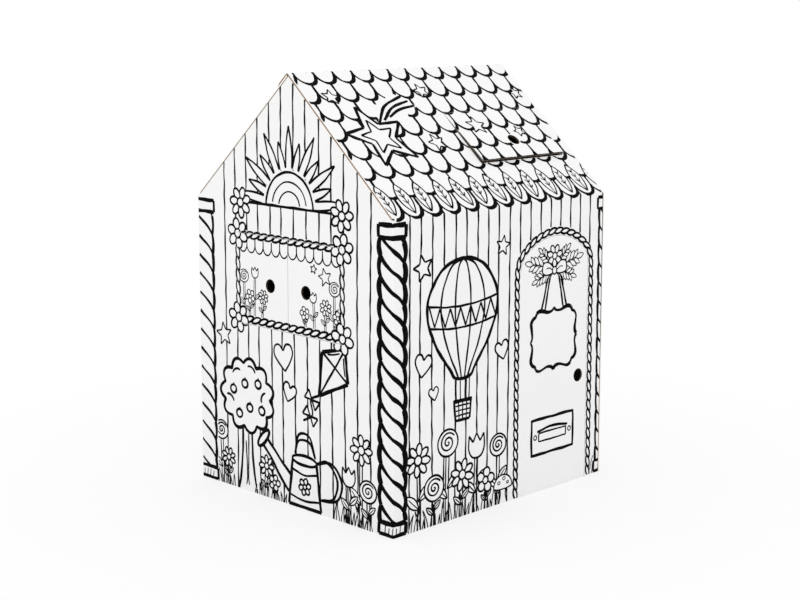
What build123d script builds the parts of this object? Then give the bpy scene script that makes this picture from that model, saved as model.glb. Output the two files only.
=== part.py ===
from build123d import *
import math
import os

# Children's playhouse of white faced corrugated board, in millimetres.
# The wall with the door faces -Y, the gable with the window faces -X, the ridge runs along X,
# and the open bottom stands on Z = 0 with the origin at its middle.

# Board
board = 4.0
fold_radius = 1.0             # inside a fold; the outside is one board larger
rest_gap = 0.3                # between a roof panel and the flap it rests on
kerf = 1.0                    # the cut line round a door, shutter or hatch
groove_width = 3.0            # pressed crease on the inner face where a leaf hinges
groove_depth = 1.4

# House
width = 812.0                 # across a gable, along Y
length = 880.0                # along the ridge
eave_height = 855.0
roof_pitch = 41.75            # degrees

# Flaps that close the house up
lap_width = 42.0              # glue lap on the end of each long wall
lap_end_taper = 18.0
lap_top_drop = 30.0
slope_flap = 55.0             # folded in from a gable's slope, under the roof panel
slope_flap_setback = 12.0     # from each end of the slope
ridge_flap = 88.0             # folded over the ridge, onto the back roof panel
ridge_flap_taper = 14.0
ridge_clearance = 3.0         # from the back panel's end to the inside of the ridge
corner_nick = 7.0             # relief cut where wall, gable and roof meet
nick_rise = 3.0

# Tongues of the ridge flap and their slots in the back panel
tongue_count = 3
tongue_width = 74.0
tongue_pitch = 270.0
tongue_length = 46.0
tongue_bend = 40.0            # degrees
slot_clearance = 0.8

# Door, hinged on its left side
door_width = 302.0
door_right_margin = 72.0      # from the right corner of its wall
door_head_drop = 108.0        # from the eave down to the crown of its arch
door_arch_rise = 92.0
door_arch_side_radius = 60.0
door_foot_clearance = 2.0

# Window in the gable, closed by two shutters hinged at its sides
window_width = 440.0
window_height = 263.0
window_sill = 497.0
window_offset = 9.0           # from the middle of the gable, towards +Y

# Hatch in the front roof panel, hinged on its upper side
hatch_width = 360.0
hatch_height = 201.0
hatch_right_margin = 52.0     # from the right end of the roof
hatch_rise = 158.0            # from the eave up the slope to its lower edge
hatch_ajar = 2.5              # degrees that it stands open

# Finger holes
hole_diameter = 36.0
door_hole_inset = 39.0        # from the free edge to the centre
door_hole_height = 318.0
shutter_hole_inset = 75.0
shutter_hole_rise = 123.0     # above the sill
hatch_hole_rise = 72.0        # above the lower edge
hatch_hole_offset = 14.0      # from the middle of the hatch, towards +X

# Values that follow
outer_radius = fold_radius + board
half_width = width / 2
half_length = length / 2
pitch = math.radians(roof_pitch)
sheet_step = board + rest_gap
crease_height = eave_height - sheet_step / math.cos(pitch)
crease_length = half_width / math.cos(pitch)
ridge_y = sheet_step / (2 * math.sin(pitch))
ridge_height = eave_height + (half_width + ridge_y) * math.tan(pitch)
back_panel = (half_width - board / (2 * math.sin(pitch))) / math.cos(pitch) - ridge_clearance
door_right = half_length - door_right_margin
door_left = door_right - door_width
door_spring = eave_height - door_head_drop - door_arch_rise
hatch_right = half_length - hatch_right_margin
hatch_left = hatch_right - hatch_width
hatch_top = hatch_rise + hatch_height
window_mid = window_offset

# The slopes: x along the ridge, y up the slope from the eave, z out of the roof
front_slope = Plane(
    origin=(0, -half_width, eave_height),
    x_dir=(1, 0, 0),
    z_dir=(0, -math.sin(pitch), math.cos(pitch)),
)
# The line where a gable's slope flap folds in, one board below the roof's outer face
front_crease = Plane(
    origin=(0, -half_width, crease_height),
    x_dir=(1, 0, 0),
    z_dir=(0, -math.sin(pitch), math.cos(pitch)),
)
upside_span = 2 * ridge_height


def inner_line(points):
    """The outer line moved one board to its right, with mitred corners."""
    points = [Vector(*p) for p in points]
    rights = []
    for a, b in zip(points, points[1:]):
        along = (b - a).normalized()
        rights.append(Vector(along.Y, -along.X))
    moved = [points[0] + rights[0] * board]
    for point, before, after in zip(points[1:-1], rights, rights[1:]):
        moved.append(point + (before + after) * (board / (1 + before.dot(after))))
    moved.append(points[-1] + rights[-1] * board)
    return moved


def folded_section(points):
    """Section of the board along an outer line, bent at each corner round the fold radius."""
    outer = FilletPolyline(*points, radius=outer_radius)
    inner = FilletPolyline(*inner_line(points), radius=fold_radius)
    start = Line(outer @ 0, inner @ 0)
    end = Line(outer @ 1, inner @ 1)
    return make_face(outer.edges() + inner.edges() + [start, end])


def block(x_range, y_range, z_range):
    """A box between two corners, for cutting."""
    (x0, x1), (y0, y1), (z0, z1) = x_range, y_range, z_range
    return Pos((x0 + x1) / 2, (y0 + y1) / 2, (z0 + z1) / 2) * Box(x1 - x0, y1 - y0, z1 - z0)


def wall_pair():
    """A gable and the long wall that folds from it, with the glue lap on the wall's far end."""
    lap_x = half_length - board
    plan = folded_section([
        (lap_x, -half_width + lap_width),
        (lap_x, -half_width),
        (-half_length, -half_width),
        (-half_length, half_width),
    ])
    walls = extrude(plan, amount=ridge_height)
    fold_zone = -half_length + corner_nick
    # the long wall stops below the eave, where the roof's own section takes over
    walls -= block((fold_zone, length), (-width, width), (crease_height - nick_rise, upside_span))
    # the lap is shorter than the wall, with tapered ends
    lap_edge = -half_width + lap_width
    lap_root = -half_width + outer_radius
    lap_top = crease_height - lap_top_drop
    walls -= block((lap_x - 2 * board, length), (lap_root, width), (lap_top, upside_span))
    for level, rise in ((0, lap_end_taper), (lap_top, -lap_end_taper)):
        corner = Polyline(
            (lap_root, level),
            (lap_edge + kerf, level - rise * kerf / (lap_edge - lap_root)),
            (lap_edge + kerf, level + rise),
            close=True,
        )
        wedge = extrude(Plane.YZ.offset(lap_x - 2 * board) * make_face(corner), amount=3 * board)
        walls -= wedge
    # the gable follows both slopes, cut lower where a folded edge is added
    over = block((-length, fold_zone), (-width, 2 * width), (0, upside_span))
    folded_part = block(
        (-length, fold_zone),
        (slope_flap_setback, crease_length + width),
        (-2 * outer_radius, upside_span),
    )
    for trim in (over, folded_part):
        placed = front_crease * trim
        walls -= placed
        walls -= mirror(placed, about=Plane.XZ)
    return walls


def slope_edge():
    """The gable's folded edge on its front slope, with the flap that turns in under the roof."""
    band = 4 * outer_radius
    section = folded_section([
        (-half_length, -band),
        (-half_length, 0),
        (-half_length + slope_flap, 0),
    ])
    # the section stands across the slope: its x is the row's X, its y the slope's outward normal
    across = Plane(
        origin=front_crease.from_local_coords(Vector(0, slope_flap_setback, 0)),
        x_dir=(1, 0, 0),
        z_dir=-front_crease.y_dir,
    )
    edge = extrude(across * section, amount=-(crease_length + board))
    edge -= block((-length, length), (0, width), (0, upside_span))
    # tapered ends of the flap
    root = -half_length + outer_radius
    tip = -half_length + slope_flap + kerf
    run = tip - root
    low = slope_flap_setback
    high = crease_length - slope_flap_setback
    for start, step in ((low, run), (high, -run)):
        beyond = start - math.copysign(crease_length, step)
        corner = Polyline((root, start), (tip, start + step), (tip, beyond), (root, beyond), close=True)
        taper = extrude(front_crease.offset(-2 * board) * make_face(corner), amount=3 * board)
        edge -= taper
    return edge


def gable_and_wall():
    """One half of the house, without its roof panel."""
    edge = slope_edge()
    return wall_pair() + edge + mirror(edge, about=Plane.XZ)


def eave_nicks():
    """Relief cuts at both ends of an eave, where the roof panel parts from the gable."""
    lows = crease_height - 4 * lap_width
    tops = eave_height + nick_rise
    left = block(
        (-length, -half_length + corner_nick),
        (-width, -half_width + 2 * corner_nick),
        (lows, tops),
    )
    right = block(
        (half_length - board - corner_nick, length),
        (-width, -half_width + 2 * corner_nick),
        (lows, tops),
    )
    return left + right


def roof_panel(points):
    """A roof panel that folds from the long wall, with its section along the given outer line."""
    section = Plane.YZ.offset(-half_length) * folded_section(points)
    return extrude(section, amount=length) - eave_nicks()


def ridge_points(beyond):
    """The outer line of the front panel, over the ridge and down the back by the given length."""
    down = Vector(math.cos(pitch), -math.sin(pitch))
    ridge = Vector(ridge_y, ridge_height)
    end = ridge + down * beyond
    return ridge, end


def flap_edge(end):
    """Plane on the ridge flap's outer face at its lower edge: x along the ridge, y down the slope."""
    return Plane(
        origin=(0, end.X, end.Y),
        x_dir=(1, 0, 0),
        z_dir=(0, math.sin(pitch), math.cos(pitch)),
    )


def tongue_middles():
    """Where the tongues stand along the ridge."""
    first = -tongue_pitch * (tongue_count - 1) / 2
    return [first + i * tongue_pitch for i in range(tongue_count)]


def front_roof():
    """The front roof panel with the ridge flap and its tongues."""
    ridge, end = ridge_points(ridge_flap)
    panel = roof_panel([
        (-half_width, crease_height - lap_width),
        (-half_width, eave_height),
        (ridge.X, ridge.Y),
        (end.X, end.Y),
    ])
    # the flap's lower corners are tapered
    edge_plane = flap_edge(end)
    for side in (-1, 1):
        corner = Polyline(
            (side * half_length, kerf),
            (side * (half_length - ridge_flap_taper), kerf),
            (side * half_length, -ridge_flap / 2),
            close=True,
        )
        panel -= extrude(edge_plane.offset(-2 * board) * make_face(corner), amount=4 * board)
    # a tongue turns down from the flap's edge and through the back panel
    turn = pitch + math.radians(tongue_bend)
    tip = end + Vector(math.cos(turn), -math.sin(turn)) * tongue_length
    root = end - (end - ridge).normalized() * 3 * outer_radius
    section = folded_section([(root.X, root.Y), (end.X, end.Y), (tip.X, tip.Y)])
    for middle in tongue_middles():
        left = middle - tongue_width / 2
        room = block((left, left + tongue_width), (-3 * outer_radius, kerf), (-2 * board, board))
        panel -= edge_plane * room
        panel += extrude(Plane.YZ.offset(left) * section, amount=tongue_width)
    return panel


def slot_cuts():
    """The slots that let the tongues through the back roof panel."""
    ridge, end = ridge_points(ridge_flap)
    bend = math.radians(tongue_bend)
    # along the slope from the flap's edge: where the tongue's two faces meet the panel's faces
    lower = (sheet_step + board) / math.tan(bend) + slot_clearance
    upper = (sheet_step - board / math.cos(bend)) / math.tan(bend) - slot_clearance
    edge_plane = flap_edge(end)
    cuts = []
    for middle in tongue_middles():
        left = middle - tongue_width / 2 - slot_clearance
        right = middle + tongue_width / 2 + slot_clearance
        cuts.append(edge_plane * block((left, right), (upper, lower), (-3 * board, 0)))
    return cuts


def back_roof():
    """The back roof panel, drawn as if it were the front one."""
    up = Vector(math.cos(pitch), math.sin(pitch))
    end = Vector(-half_width, eave_height) + up * back_panel
    return roof_panel([
        (-half_width, crease_height - lap_width),
        (-half_width, eave_height),
        (end.X, end.Y),
    ])


def arch_outline(inset, foot):
    """The door's outline: straight sides and an arch of three tangent arcs."""
    half = door_width / 2 - inset
    rise = door_arch_rise - inset
    side = door_arch_side_radius - inset
    reach = half - side
    top = (reach**2 + rise**2 - side**2) / (2 * (rise - side))
    centre = Vector((door_left + door_right) / 2, door_spring)
    drop = top - rise
    lean = Vector(reach, drop).normalized()
    joint = Vector(reach, 0) + lean * side
    half_way = (Vector(1, 0) + lean).normalized()
    flank = Vector(reach, 0) + half_way * side
    outline = [
        Line(centre + (half, foot - door_spring), centre + (half, 0)),
        ThreePointArc(centre + (half, 0), centre + flank, centre + joint),
        ThreePointArc(centre + joint, centre + (0, rise), centre + (-joint.X, joint.Y)),
        ThreePointArc(centre + (-joint.X, joint.Y), centre + (-flank.X, flank.Y), centre + (-half, 0)),
        Line(centre + (-half, 0), centre + (-half, foot - door_spring)),
        Line(centre + (-half, foot - door_spring), centre + (half, foot - door_spring)),
    ]
    return make_face(outline)


def groove(length_along):
    """A pressed crease, a shallow V along z, open towards +y, centred on its own axis."""
    half = groove_width / 2
    section = make_face(Polyline((-half, 0), (0, -groove_depth), (half, 0), close=True))
    return extrude(section, amount=length_along)


wall_plane = Plane(origin=(0, -half_width, 0), x_dir=(1, 0, 0), z_dir=(0, -1, 0))


def door_crease():
    """The pressed crease on the inner face where the door hinges."""
    return Pos(door_left, -half_width + board, 0) * groove(door_spring)


def shutter_crease(side):
    """The pressed crease beside the window, on the +Y or the -Y side."""
    edge = window_mid + side * window_width / 2
    at = Pos(-half_length + board, edge, window_sill) * Rot(0, 0, -90)
    return at * groove(window_height)


def hatch_crease():
    """The pressed crease on the roof's inner face along the hatch's upper side."""
    start = front_slope.from_local_coords(Vector(hatch_left, hatch_top, -board))
    run = Plane(origin=start, x_dir=front_slope.y_dir, z_dir=(1, 0, 0))
    return run * groove(hatch_width)


def make_front_sheet():
    """Window gable, door wall, front roof panel and their flaps, cut and folded from one sheet."""
    sheet = gable_and_wall() + front_roof()
    doorway = extrude(wall_plane * arch_outline(0, -board), amount=-2 * board, both=True)
    window = block(
        (-half_length - board, -half_length + 2 * board),
        (window_mid - window_width / 2, window_mid + window_width / 2),
        (window_sill, window_sill + window_height),
    )
    skylight = front_slope * block((hatch_left, hatch_right), (hatch_rise, hatch_top), (-2 * board, board))
    for cut in (doorway, window, skylight):
        sheet -= cut
    for crease in (door_crease(), shutter_crease(1), shutter_crease(-1), hatch_crease()):
        sheet -= crease
    return sheet


def make_back_sheet():
    """Plain gable, back wall and back roof panel with their flaps, from the second sheet."""
    sheet = Rot(0, 0, 180) * (gable_and_wall() + back_roof())
    for cut in slot_cuts():
        sheet -= cut
    return sheet


def make_door():
    """The door leaf, free of the wall on every side but its hinge."""
    leaf = extrude(wall_plane * arch_outline(kerf, door_foot_clearance), amount=-board)
    hinge_side = block(
        (door_left, door_left + 2 * kerf),
        (-half_width, -half_width + board),
        (door_foot_clearance, door_spring - kerf),
    )
    hole = Pos(door_right - door_hole_inset, -half_width, door_hole_height) * Rot(90, 0, 0)
    leaf = leaf + hinge_side - hole * Cylinder(hole_diameter / 2, 4 * board)
    return leaf - door_crease()


def make_shutter(side):
    """One shutter: side +1 hinges at the window's +Y edge, side -1 at its -Y edge."""
    hinge = window_mid + side * window_width / 2
    free = window_mid + side * kerf / 2
    low, high = sorted((hinge, free))
    leaf = block(
        (-half_length, -half_length + board),
        (low, high),
        (window_sill + kerf, window_sill + window_height - kerf),
    )
    centre = window_mid + side * shutter_hole_inset
    hole = Pos(-half_length, centre, window_sill + shutter_hole_rise) * Rot(0, 90, 0)
    leaf -= hole * Cylinder(hole_diameter / 2, 4 * board)
    return leaf - shutter_crease(side)


def make_hatch():
    """The roof hatch, turned a little out of the roof about its upper edge."""
    leaf = block(
        (hatch_left + kerf, hatch_right - kerf),
        (hatch_rise + kerf, hatch_top),
        (-board, 0),
    )
    middle = (hatch_left + hatch_right) / 2 + hatch_hole_offset
    hole = Pos(middle, hatch_rise + hatch_hole_rise, 0) * Cylinder(hole_diameter / 2, 4 * board)
    leaf = front_slope * (leaf - hole) - hatch_crease()
    hinge = Axis(front_slope.from_local_coords(Vector(0, hatch_top, 0)), (1, 0, 0))
    return leaf.rotate(hinge, -hatch_ajar)


nodes = {
    "front_sheet": make_front_sheet(),
    "back_sheet": make_back_sheet(),
    "door": make_door(),
    "left_shutter": make_shutter(1),
    "right_shutter": make_shutter(-1),
    "roof_hatch": make_hatch(),
}

os.makedirs("parts", exist_ok=True)
for name, shape in nodes.items():
    solids = shape.solids()
    export_step(solids[0] if len(solids) == 1 else Compound(solids), f"parts/{name}.step")
    print(name, len(solids), "solid", round(sum(s.volume for s in solids)), "cubic mm")
print("height over the ridge", round(ridge_height, 1))
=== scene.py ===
import math

import bmesh
import bpy
import numpy as np
from mathutils import Matrix, Vector


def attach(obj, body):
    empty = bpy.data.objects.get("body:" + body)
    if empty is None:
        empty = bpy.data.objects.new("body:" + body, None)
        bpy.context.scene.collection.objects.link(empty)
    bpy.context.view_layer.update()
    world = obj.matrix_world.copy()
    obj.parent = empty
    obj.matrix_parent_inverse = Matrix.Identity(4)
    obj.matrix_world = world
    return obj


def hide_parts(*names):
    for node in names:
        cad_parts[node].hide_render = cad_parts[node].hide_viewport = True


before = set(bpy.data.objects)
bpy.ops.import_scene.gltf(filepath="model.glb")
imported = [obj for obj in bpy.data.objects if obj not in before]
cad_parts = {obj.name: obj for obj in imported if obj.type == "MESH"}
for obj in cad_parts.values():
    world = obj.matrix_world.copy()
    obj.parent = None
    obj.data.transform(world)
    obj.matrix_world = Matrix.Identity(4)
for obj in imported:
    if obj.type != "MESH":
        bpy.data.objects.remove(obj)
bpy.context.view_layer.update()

print("stage: frame loaded,", ", ".join(sorted(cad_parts)))

# the folded sheets, in millimetres: gable and wall unrolled into one flat page each
house = {
    "halfLength": 440.0, "halfWidth": 406.0,
    "eave": 855.0, "pitch": math.radians(41.75),
    "board": 4.0, "restGap": 0.3, "foldOuter": 5.0,
    "lapAt": 876.0,          # where the wall turns in behind the other sheet's gable
    "ridgeFlap": 88.0, "flapTaper": 14.0,
    "tongueWidth": 74.0, "tonguePitch": 270.0,
}
millimetre = 0.001
sheetStep = house["board"] + house["restGap"]
roofRun = (house["halfWidth"] + sheetStep / (2 * math.sin(house["pitch"]))) / math.cos(house["pitch"])
creaseHeight = house["eave"] - sheetStep / math.cos(house["pitch"])
ridgeV = house["eave"] + roofRun
gableSpan = (-2 * house["halfWidth"], 0.0)        # each side's place along u
wallSpan = (0.0, 2 * house["halfLength"])
pageSpan = (gableSpan[0], wallSpan[1])
farAway = 99.0                                    # stands for no edge or fold nearby

# the cut leaves, in page millimetres: u runs right from the shared corner, v runs up
leaves = {
    "doorLeft": 506.0, "doorRight": 808.0, "doorSpring": 655.0, "doorCrown": 747.0, "doorSideRadius": 60.0,
    "windowLeft": -635.0, "windowRight": -195.0, "windowSplit": -415.0,
    "windowSill": 497.0, "windowHead": 760.0,
    "hatchLeft": 468.0, "hatchRight": 828.0, "hatchLow": 158.0, "hatchHigh": 359.0,
    "hatchAjar": math.radians(-2.5),         # turned about +X
    "holeRadius": 18.0, "holeRing": 1.7,      # the pen of the ring printed round each finger hole
    "holes": [(769.0, 318.0), (-490.0, 620.0), (-340.0, 620.0), (662.0, 1085.0)],      # door to hatch
}


def gableTop(u):
    # the gable's slope: the eave's crease plus the way in from the side times the tangent of the pitch
    return creaseHeight + (house["halfWidth"] - abs(-house["halfWidth"] - u)) * math.tan(house["pitch"])


def ontoSheet(flat, lift, turned):
    # page to space: the plan turns a quarter circle at the corner and at the lap,
    # the section turns at the eave and over the ridge, and the gable rolls in at its slope
    u, v = flat[:, 0], flat[:, 1]
    r = house["foldOuter"]
    hl, hw, eave, pitch = house["halfLength"], house["halfWidth"], house["eave"], house["pitch"]
    corner = np.clip((u + r) / (2 * r), 0, 1) * math.pi / 2
    lap = np.clip((u - house["lapAt"] + r) / (2 * r), 0, 1) * math.pi / 2
    lapX = house["lapAt"] - r - hl
    x = np.where(u < r, -hl + r - r * np.cos(corner), np.minimum(u - hl, lapX) + r * np.sin(lap))
    y = np.where(u < -r, -hw - u, -hw + r - r * np.sin(corner)) + r - r * np.cos(lap)
    planX, planY = -np.cos(corner + lap), -np.sin(corner + lap)
    eaveReach = r * math.tan((math.pi / 2 - pitch) / 2)
    ridgeReach = r * math.tan(pitch)
    s = v - eave
    eaveTurn = np.clip((s + eaveReach) / (2 * eaveReach), 0, 1) * (math.pi / 2 - pitch)
    ridgeTurn = np.clip((s - roofRun + ridgeReach) / (2 * ridgeReach), 0, 1) * 2 * pitch
    lean = np.where(u > 0, eaveTurn + ridgeTurn, 0)
    up = np.clip(s, eaveReach, roofRun - ridgeReach)
    depth = np.where(s < eaveReach, r - r * np.cos(eaveTurn), up * math.cos(pitch))
    height = np.where(s < -eaveReach, v, eave - eaveReach + r * np.sin(eaveTurn))
    height = np.where(s < eaveReach, height, eave + up * math.sin(pitch))
    over = s > roofRun - ridgeReach
    startLean = math.pi / 2 - pitch
    arcDepth = up * math.cos(pitch) + r * (math.cos(startLean) - np.cos(startLean + ridgeTurn))
    arcHeight = eave + up * math.sin(pitch) + r * (np.sin(startLean + ridgeTurn) - math.sin(startLean))
    down = np.clip(s - roofRun - ridgeReach, 0, None)
    depth = np.where(over, arcDepth + down * math.cos(pitch), depth)
    height = np.where(over, arcHeight - down * math.sin(pitch), height)
    isWall = u > 0
    y = y + np.where(isWall, depth, 0)
    z = np.where(isWall, height, v)
    below = (gableTop(u) - v) * math.cos(pitch)
    roll = r - np.sqrt(r * r - np.clip(r - below, 0, r) ** 2)
    x = x + np.where(isWall, 0, roll)
    normal = np.stack([planX * np.cos(lean), planY * np.cos(lean), np.sin(lean)], 1)
    place = np.stack([x, y, z], 1) + normal * lift[:, None]
    if turned:
        place[:, :2] *= -1
    return place * millimetre


def turnHatch(points, angle, unit=1.0):
    # the hatch stands slightly open: its points turn about +X at the crease along its upper side
    pitch, high = house["pitch"], leaves["hatchHigh"]
    axisY = (-house["halfWidth"] + high * math.cos(pitch)) * unit
    axisZ = (house["eave"] + high * math.sin(pitch)) * unit
    c, s = math.cos(angle), math.sin(angle)
    dy, dz = points[:, 1] - axisY, points[:, 2] - axisZ
    return np.stack([points[:, 0], axisY + c * dy - s * dz, axisZ + s * dy + c * dz], 1)


# drawing on a flat page, in millimetres: lengths between points, and where a ribbon keeps all of them
grain = {"sample": 1.25, "segment": 5.0, "straightSegment": 24.0,
         "nearFold": 7.5, "nearCrease": 2.5, "turn": 0.3}
# an unsteady hand: the least and greatest wave length, and the slow and the quick wave's turn along one
hand = {"waves": (60, 140), "slow": 6.28, "quick": 15.0, "pointReach": 9.0}


def resample(points, step=grain["sample"]):
    # even steps along a polyline, found by interpolating on its running length
    points = np.asarray(points, float)
    length = np.concatenate([[0], np.cumsum(np.hypot(*np.diff(points, axis=0).T))])
    count = max(2, int(round(length[-1] / step)) + 1)
    at = np.linspace(0, length[-1], count)
    return np.stack([np.interp(at, length, points[:, 0]), np.interp(at, length, points[:, 1])], 1)


def curve(points, closed=False):
    # Catmull-Rom: each span is the cubic through its two points with slopes from their neighbours
    p = np.asarray(points, float)
    if closed:
        p = np.concatenate([p[-1:], p, p[:2]])
    else:
        p = np.concatenate([2 * p[:1] - p[1:2], p, 2 * p[-1:] - p[-2:-1]])
    t = np.linspace(0, 1, 16, endpoint=False)[None, :, None]
    a, b, c, d = (p[i:len(p) - 3 + i, None, :] for i in range(4))
    span = 0.5 * (2 * b + (c - a) * t + (2 * a - 5 * b + 4 * c - d) * t ** 2
                  + (3 * b - a - 3 * c + d) * t ** 3)
    return np.concatenate([span.reshape(-1, 2), p[-2:-1]])


def oval(centre, radii, start=0.0, end=360.0, tilt=0.0):
    # an arc of an ellipse, turned by tilt degrees about its centre
    count = max(12, int(abs(end - start) / 6))
    angle = np.radians(np.linspace(start, end, count))
    x, y = radii[0] * np.cos(angle), radii[1] * np.sin(angle)
    c, s = math.cos(math.radians(tilt)), math.sin(math.radians(tilt))
    return np.stack([centre[0] + c * x - s * y, centre[1] + s * x + c * y], 1)


def placed(points, centre, size=1.0, tilt=0.0):
    # unit drawing, scaled, turned by tilt degrees and moved
    c, s = math.cos(math.radians(tilt)), math.sin(math.radians(tilt))
    p = np.asarray(points, float) * size
    return np.stack([centre[0] + c * p[:, 0] - s * p[:, 1], centre[1] + s * p[:, 0] + c * p[:, 1]], 1)


def polar(middle, reach, degrees):
    # the point at this distance and direction from a middle
    return placed([(reach, 0)], middle, 1.0, degrees)[0]


class Page:
    # strokes keep the order they were drawn in; a later cover hides the earlier strokes inside it

    def __init__(self, seed):
        self.random = np.random.default_rng(seed)
        self.strokes = []
        self.covers = []
        self.level = 0
        self.limits = pageSpan               # nothing is drawn or hidden outside these places along u

    def ink(self, points, width, ends=(0.5, 0.5), swell=0.12, shake=0.35, straight=False):
        # width swells and the line shakes by slow sine waves, as a pen does
        points = resample(points)
        count = len(points)
        at = np.arange(count) * grain["sample"]
        phase = self.random.uniform(0, 2 * math.pi, 4)
        wave = self.random.uniform(*hand["waves"], 2)
        along = np.gradient(points, axis=0)
        along /= np.maximum(np.hypot(*along.T), 1e-9)[:, None]
        side = np.stack([-along[:, 1], along[:, 0]], 1)
        sway = shake * (np.sin(at / wave[0] * hand["slow"] + phase[0])
                        + 0.5 * np.sin(at / wave[1] * hand["quick"] + phase[1]))
        points = points + side * sway[:, None]
        widths = width * (1 + swell * np.sin(at / wave[1] * hand["slow"] + phase[2]))
        fade = np.minimum(at, at[-1] - at)
        nearStart = at <= at[-1] / 2
        least = np.where(nearStart, ends[0], ends[1])
        reach = np.maximum(width * 0.7, np.where(least < 0.3, hand["pointReach"], 0))
        ease = np.clip(fade / reach, 0, 1)
        widths = widths * (least + (1 - least) * np.sqrt(1 - (1 - ease) ** 2))
        self.level += 1
        self.strokes.append((self.level, points, widths, straight, self.limits))

    def cover(self, outline):
        # blank paper over what was drawn before
        self.level += 1
        self.covers.append((self.level, np.asarray(outline, float), self.limits))

    def shape(self, outline, width, **how):
        # a rounded closed shape: one stroke that overlaps its own start
        outline = np.asarray(outline, float)
        self.cover(outline)
        closed = np.concatenate([outline, outline[:2]])
        self.ink(closed, width, ends=(1.0, 1.0), **how)

    def cut(self, corners, width, **how):
        # a straight-sided shape: one stroke per side, so that its corners stay sharp
        corners = np.asarray(corners, float)
        self.cover(corners)
        for a, b in zip(corners, np.roll(corners, -1, axis=0)):
            self.ink([a, b], width, ends=(0.8, 0.8), **how)


class Stamp:
    # draws unit outlines at one place, size and tilt; share is how much of the pen's width a line takes

    def __init__(self, page, middle, width, size=1.0, tilt=0.0):
        self.page, self.width = page, width
        self.place = (middle, size, tilt)

    def line(self, points, share=1.0, **how):
        self.page.ink(placed(points, *self.place), self.width * share, **how)

    def bend(self, points, share=1.0, **how):
        self.line(curve(points), share, **how)

    def shape(self, points, share=1.0, **how):
        self.page.shape(placed(points, *self.place), self.width * share, **how)

    def cut(self, points, share=1.0, **how):
        self.page.cut(placed(points, *self.place), self.width * share, **how)

    def cover(self, points):
        self.page.cover(placed(points, *self.place))


def insideOutline(points, outline):
    # crossing number: odd counts of edges to the right of a point mean inside
    a, b = outline, np.roll(outline, -1, axis=0)
    x, y = points[:, :1], points[:, 1:]
    spans = (a[:, 1] > y) != (b[:, 1] > y)
    rise = np.where(b[:, 1] == a[:, 1], 1.0, b[:, 1] - a[:, 1])
    cross = a[:, 0] + (y - a[:, 1]) * (b[:, 0] - a[:, 0]) / rise
    return (np.sum(spans & (x < cross), axis=1) % 2).astype(bool)


def outlineDistance(points, outline):
    # least distance to the outline's edges
    a, b = outline, np.roll(outline, -1, axis=0)
    edge = b - a
    square = np.maximum((edge ** 2).sum(1), 1e-9)
    offset = points[:, None, :] - a[None]
    t = np.clip((offset * edge[None]).sum(2) / square, 0, 1)
    return np.sqrt(((offset - t[..., None] * edge[None]) ** 2).sum(2)).min(1)


def nearBox(points, outline, margin):
    # the numbers of the points inside the outline's upright box, grown by a margin
    low, high = outline.min(0) - margin, outline.max(0) + margin
    return np.flatnonzero(np.all((points > low) & (points < high), axis=1))


def doorOutline():
    # upright sides and three tangent arcs, the middle one flatter
    half = (leaves["doorRight"] - leaves["doorLeft"]) / 2
    middle = (leaves["doorRight"] + leaves["doorLeft"]) / 2
    side = leaves["doorSideRadius"]
    rise = leaves["doorCrown"] - leaves["doorSpring"]
    reach = half - side
    top = (reach ** 2 + rise ** 2 - side ** 2) / (2 * (rise - side))
    turn = math.degrees(math.atan2(top - rise, reach))
    spring = leaves["doorSpring"]
    flank = oval((middle + reach, spring), (side, side), 0, turn)
    crown = oval((middle, spring + rise - top), (top, top), turn, 180 - turn)
    other = oval((middle - reach, spring), (side, side), 180 - turn, 180)
    foot = np.array([(leaves["doorLeft"], -20.0), (leaves["doorRight"], -20.0)])
    return np.concatenate([flank, crown, other, foot])


def rectangle(left, right, low, high):
    # corners from the lower left, counterclockwise
    return np.array([(left, low), (right, low), (right, high), (left, high)], float)


regions = {
    "door": doorOutline(),
    "shutterLeft": rectangle(leaves["windowLeft"], leaves["windowSplit"],
                             leaves["windowSill"], leaves["windowHead"]),
    "shutterRight": rectangle(leaves["windowSplit"], leaves["windowRight"],
                              leaves["windowSill"], leaves["windowHead"]),
    "hatch": rectangle(leaves["hatchLeft"], leaves["hatchRight"],
                       house["eave"] + leaves["hatchLow"], house["eave"] + leaves["hatchHigh"]),
}
# each rectangular leaf's own edges inside its opening: left, right, low, high
leafEdges = {
    "shutterLeft": (0.12, 0.6, 1.1, 1.1),
    "shutterRight": (0.6, 0.12, 1.1, 1.1),
    "hatch": (1.1, 1.1, 1.1, 0.12),
}
# the creases, as page segments: fixed place, from, to and whether they run upright
creases = [
    (leaves["doorLeft"], 0.0, leaves["doorSpring"], True),
    (leaves["windowLeft"], leaves["windowSill"], leaves["windowHead"], True),
    (leaves["windowRight"], leaves["windowSill"], leaves["windowHead"], True),
    (house["eave"] + leaves["hatchHigh"], leaves["hatchLeft"], leaves["hatchRight"], False),
]
printEdge = {
    "cut": 0.7,             # from the middle of a cut to the print beside it
    "crease": 0.12,
    "creaseSlope": 0.10,    # the print thins towards a crease, so that a folded leaf lies clear of it
    "sheet": 0.8,           # from the sheet's own edges to the print
    "fold": 4.0,            # above the eave, where the roof panel's own ends begin
    "nick": 8.0,            # round the relief nicks where the eave meets a corner
    "flapEnd": 3.0,
    "tongueSide": 2.5, "tongueEnd": 12.5,      # round the tongues that come out through the back panel
    "hole": 0.8, "ring": 0.5,                  # round a finger hole, and for the ring printed about it
    "overSide": 0.4,        # print that reaches this far over a leaf's side is copied to the board beyond
    "search": 6.0,
}
# the ink's thickness, how far its edges sink in, and the points across a ribbon on flat board and at a fold
inkLayer = {"low": 0.10, "high": 0.16, "sunk": -0.08,
            "foldReach": 11.0, "flatColumns": 2, "foldColumns": 6}


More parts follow.
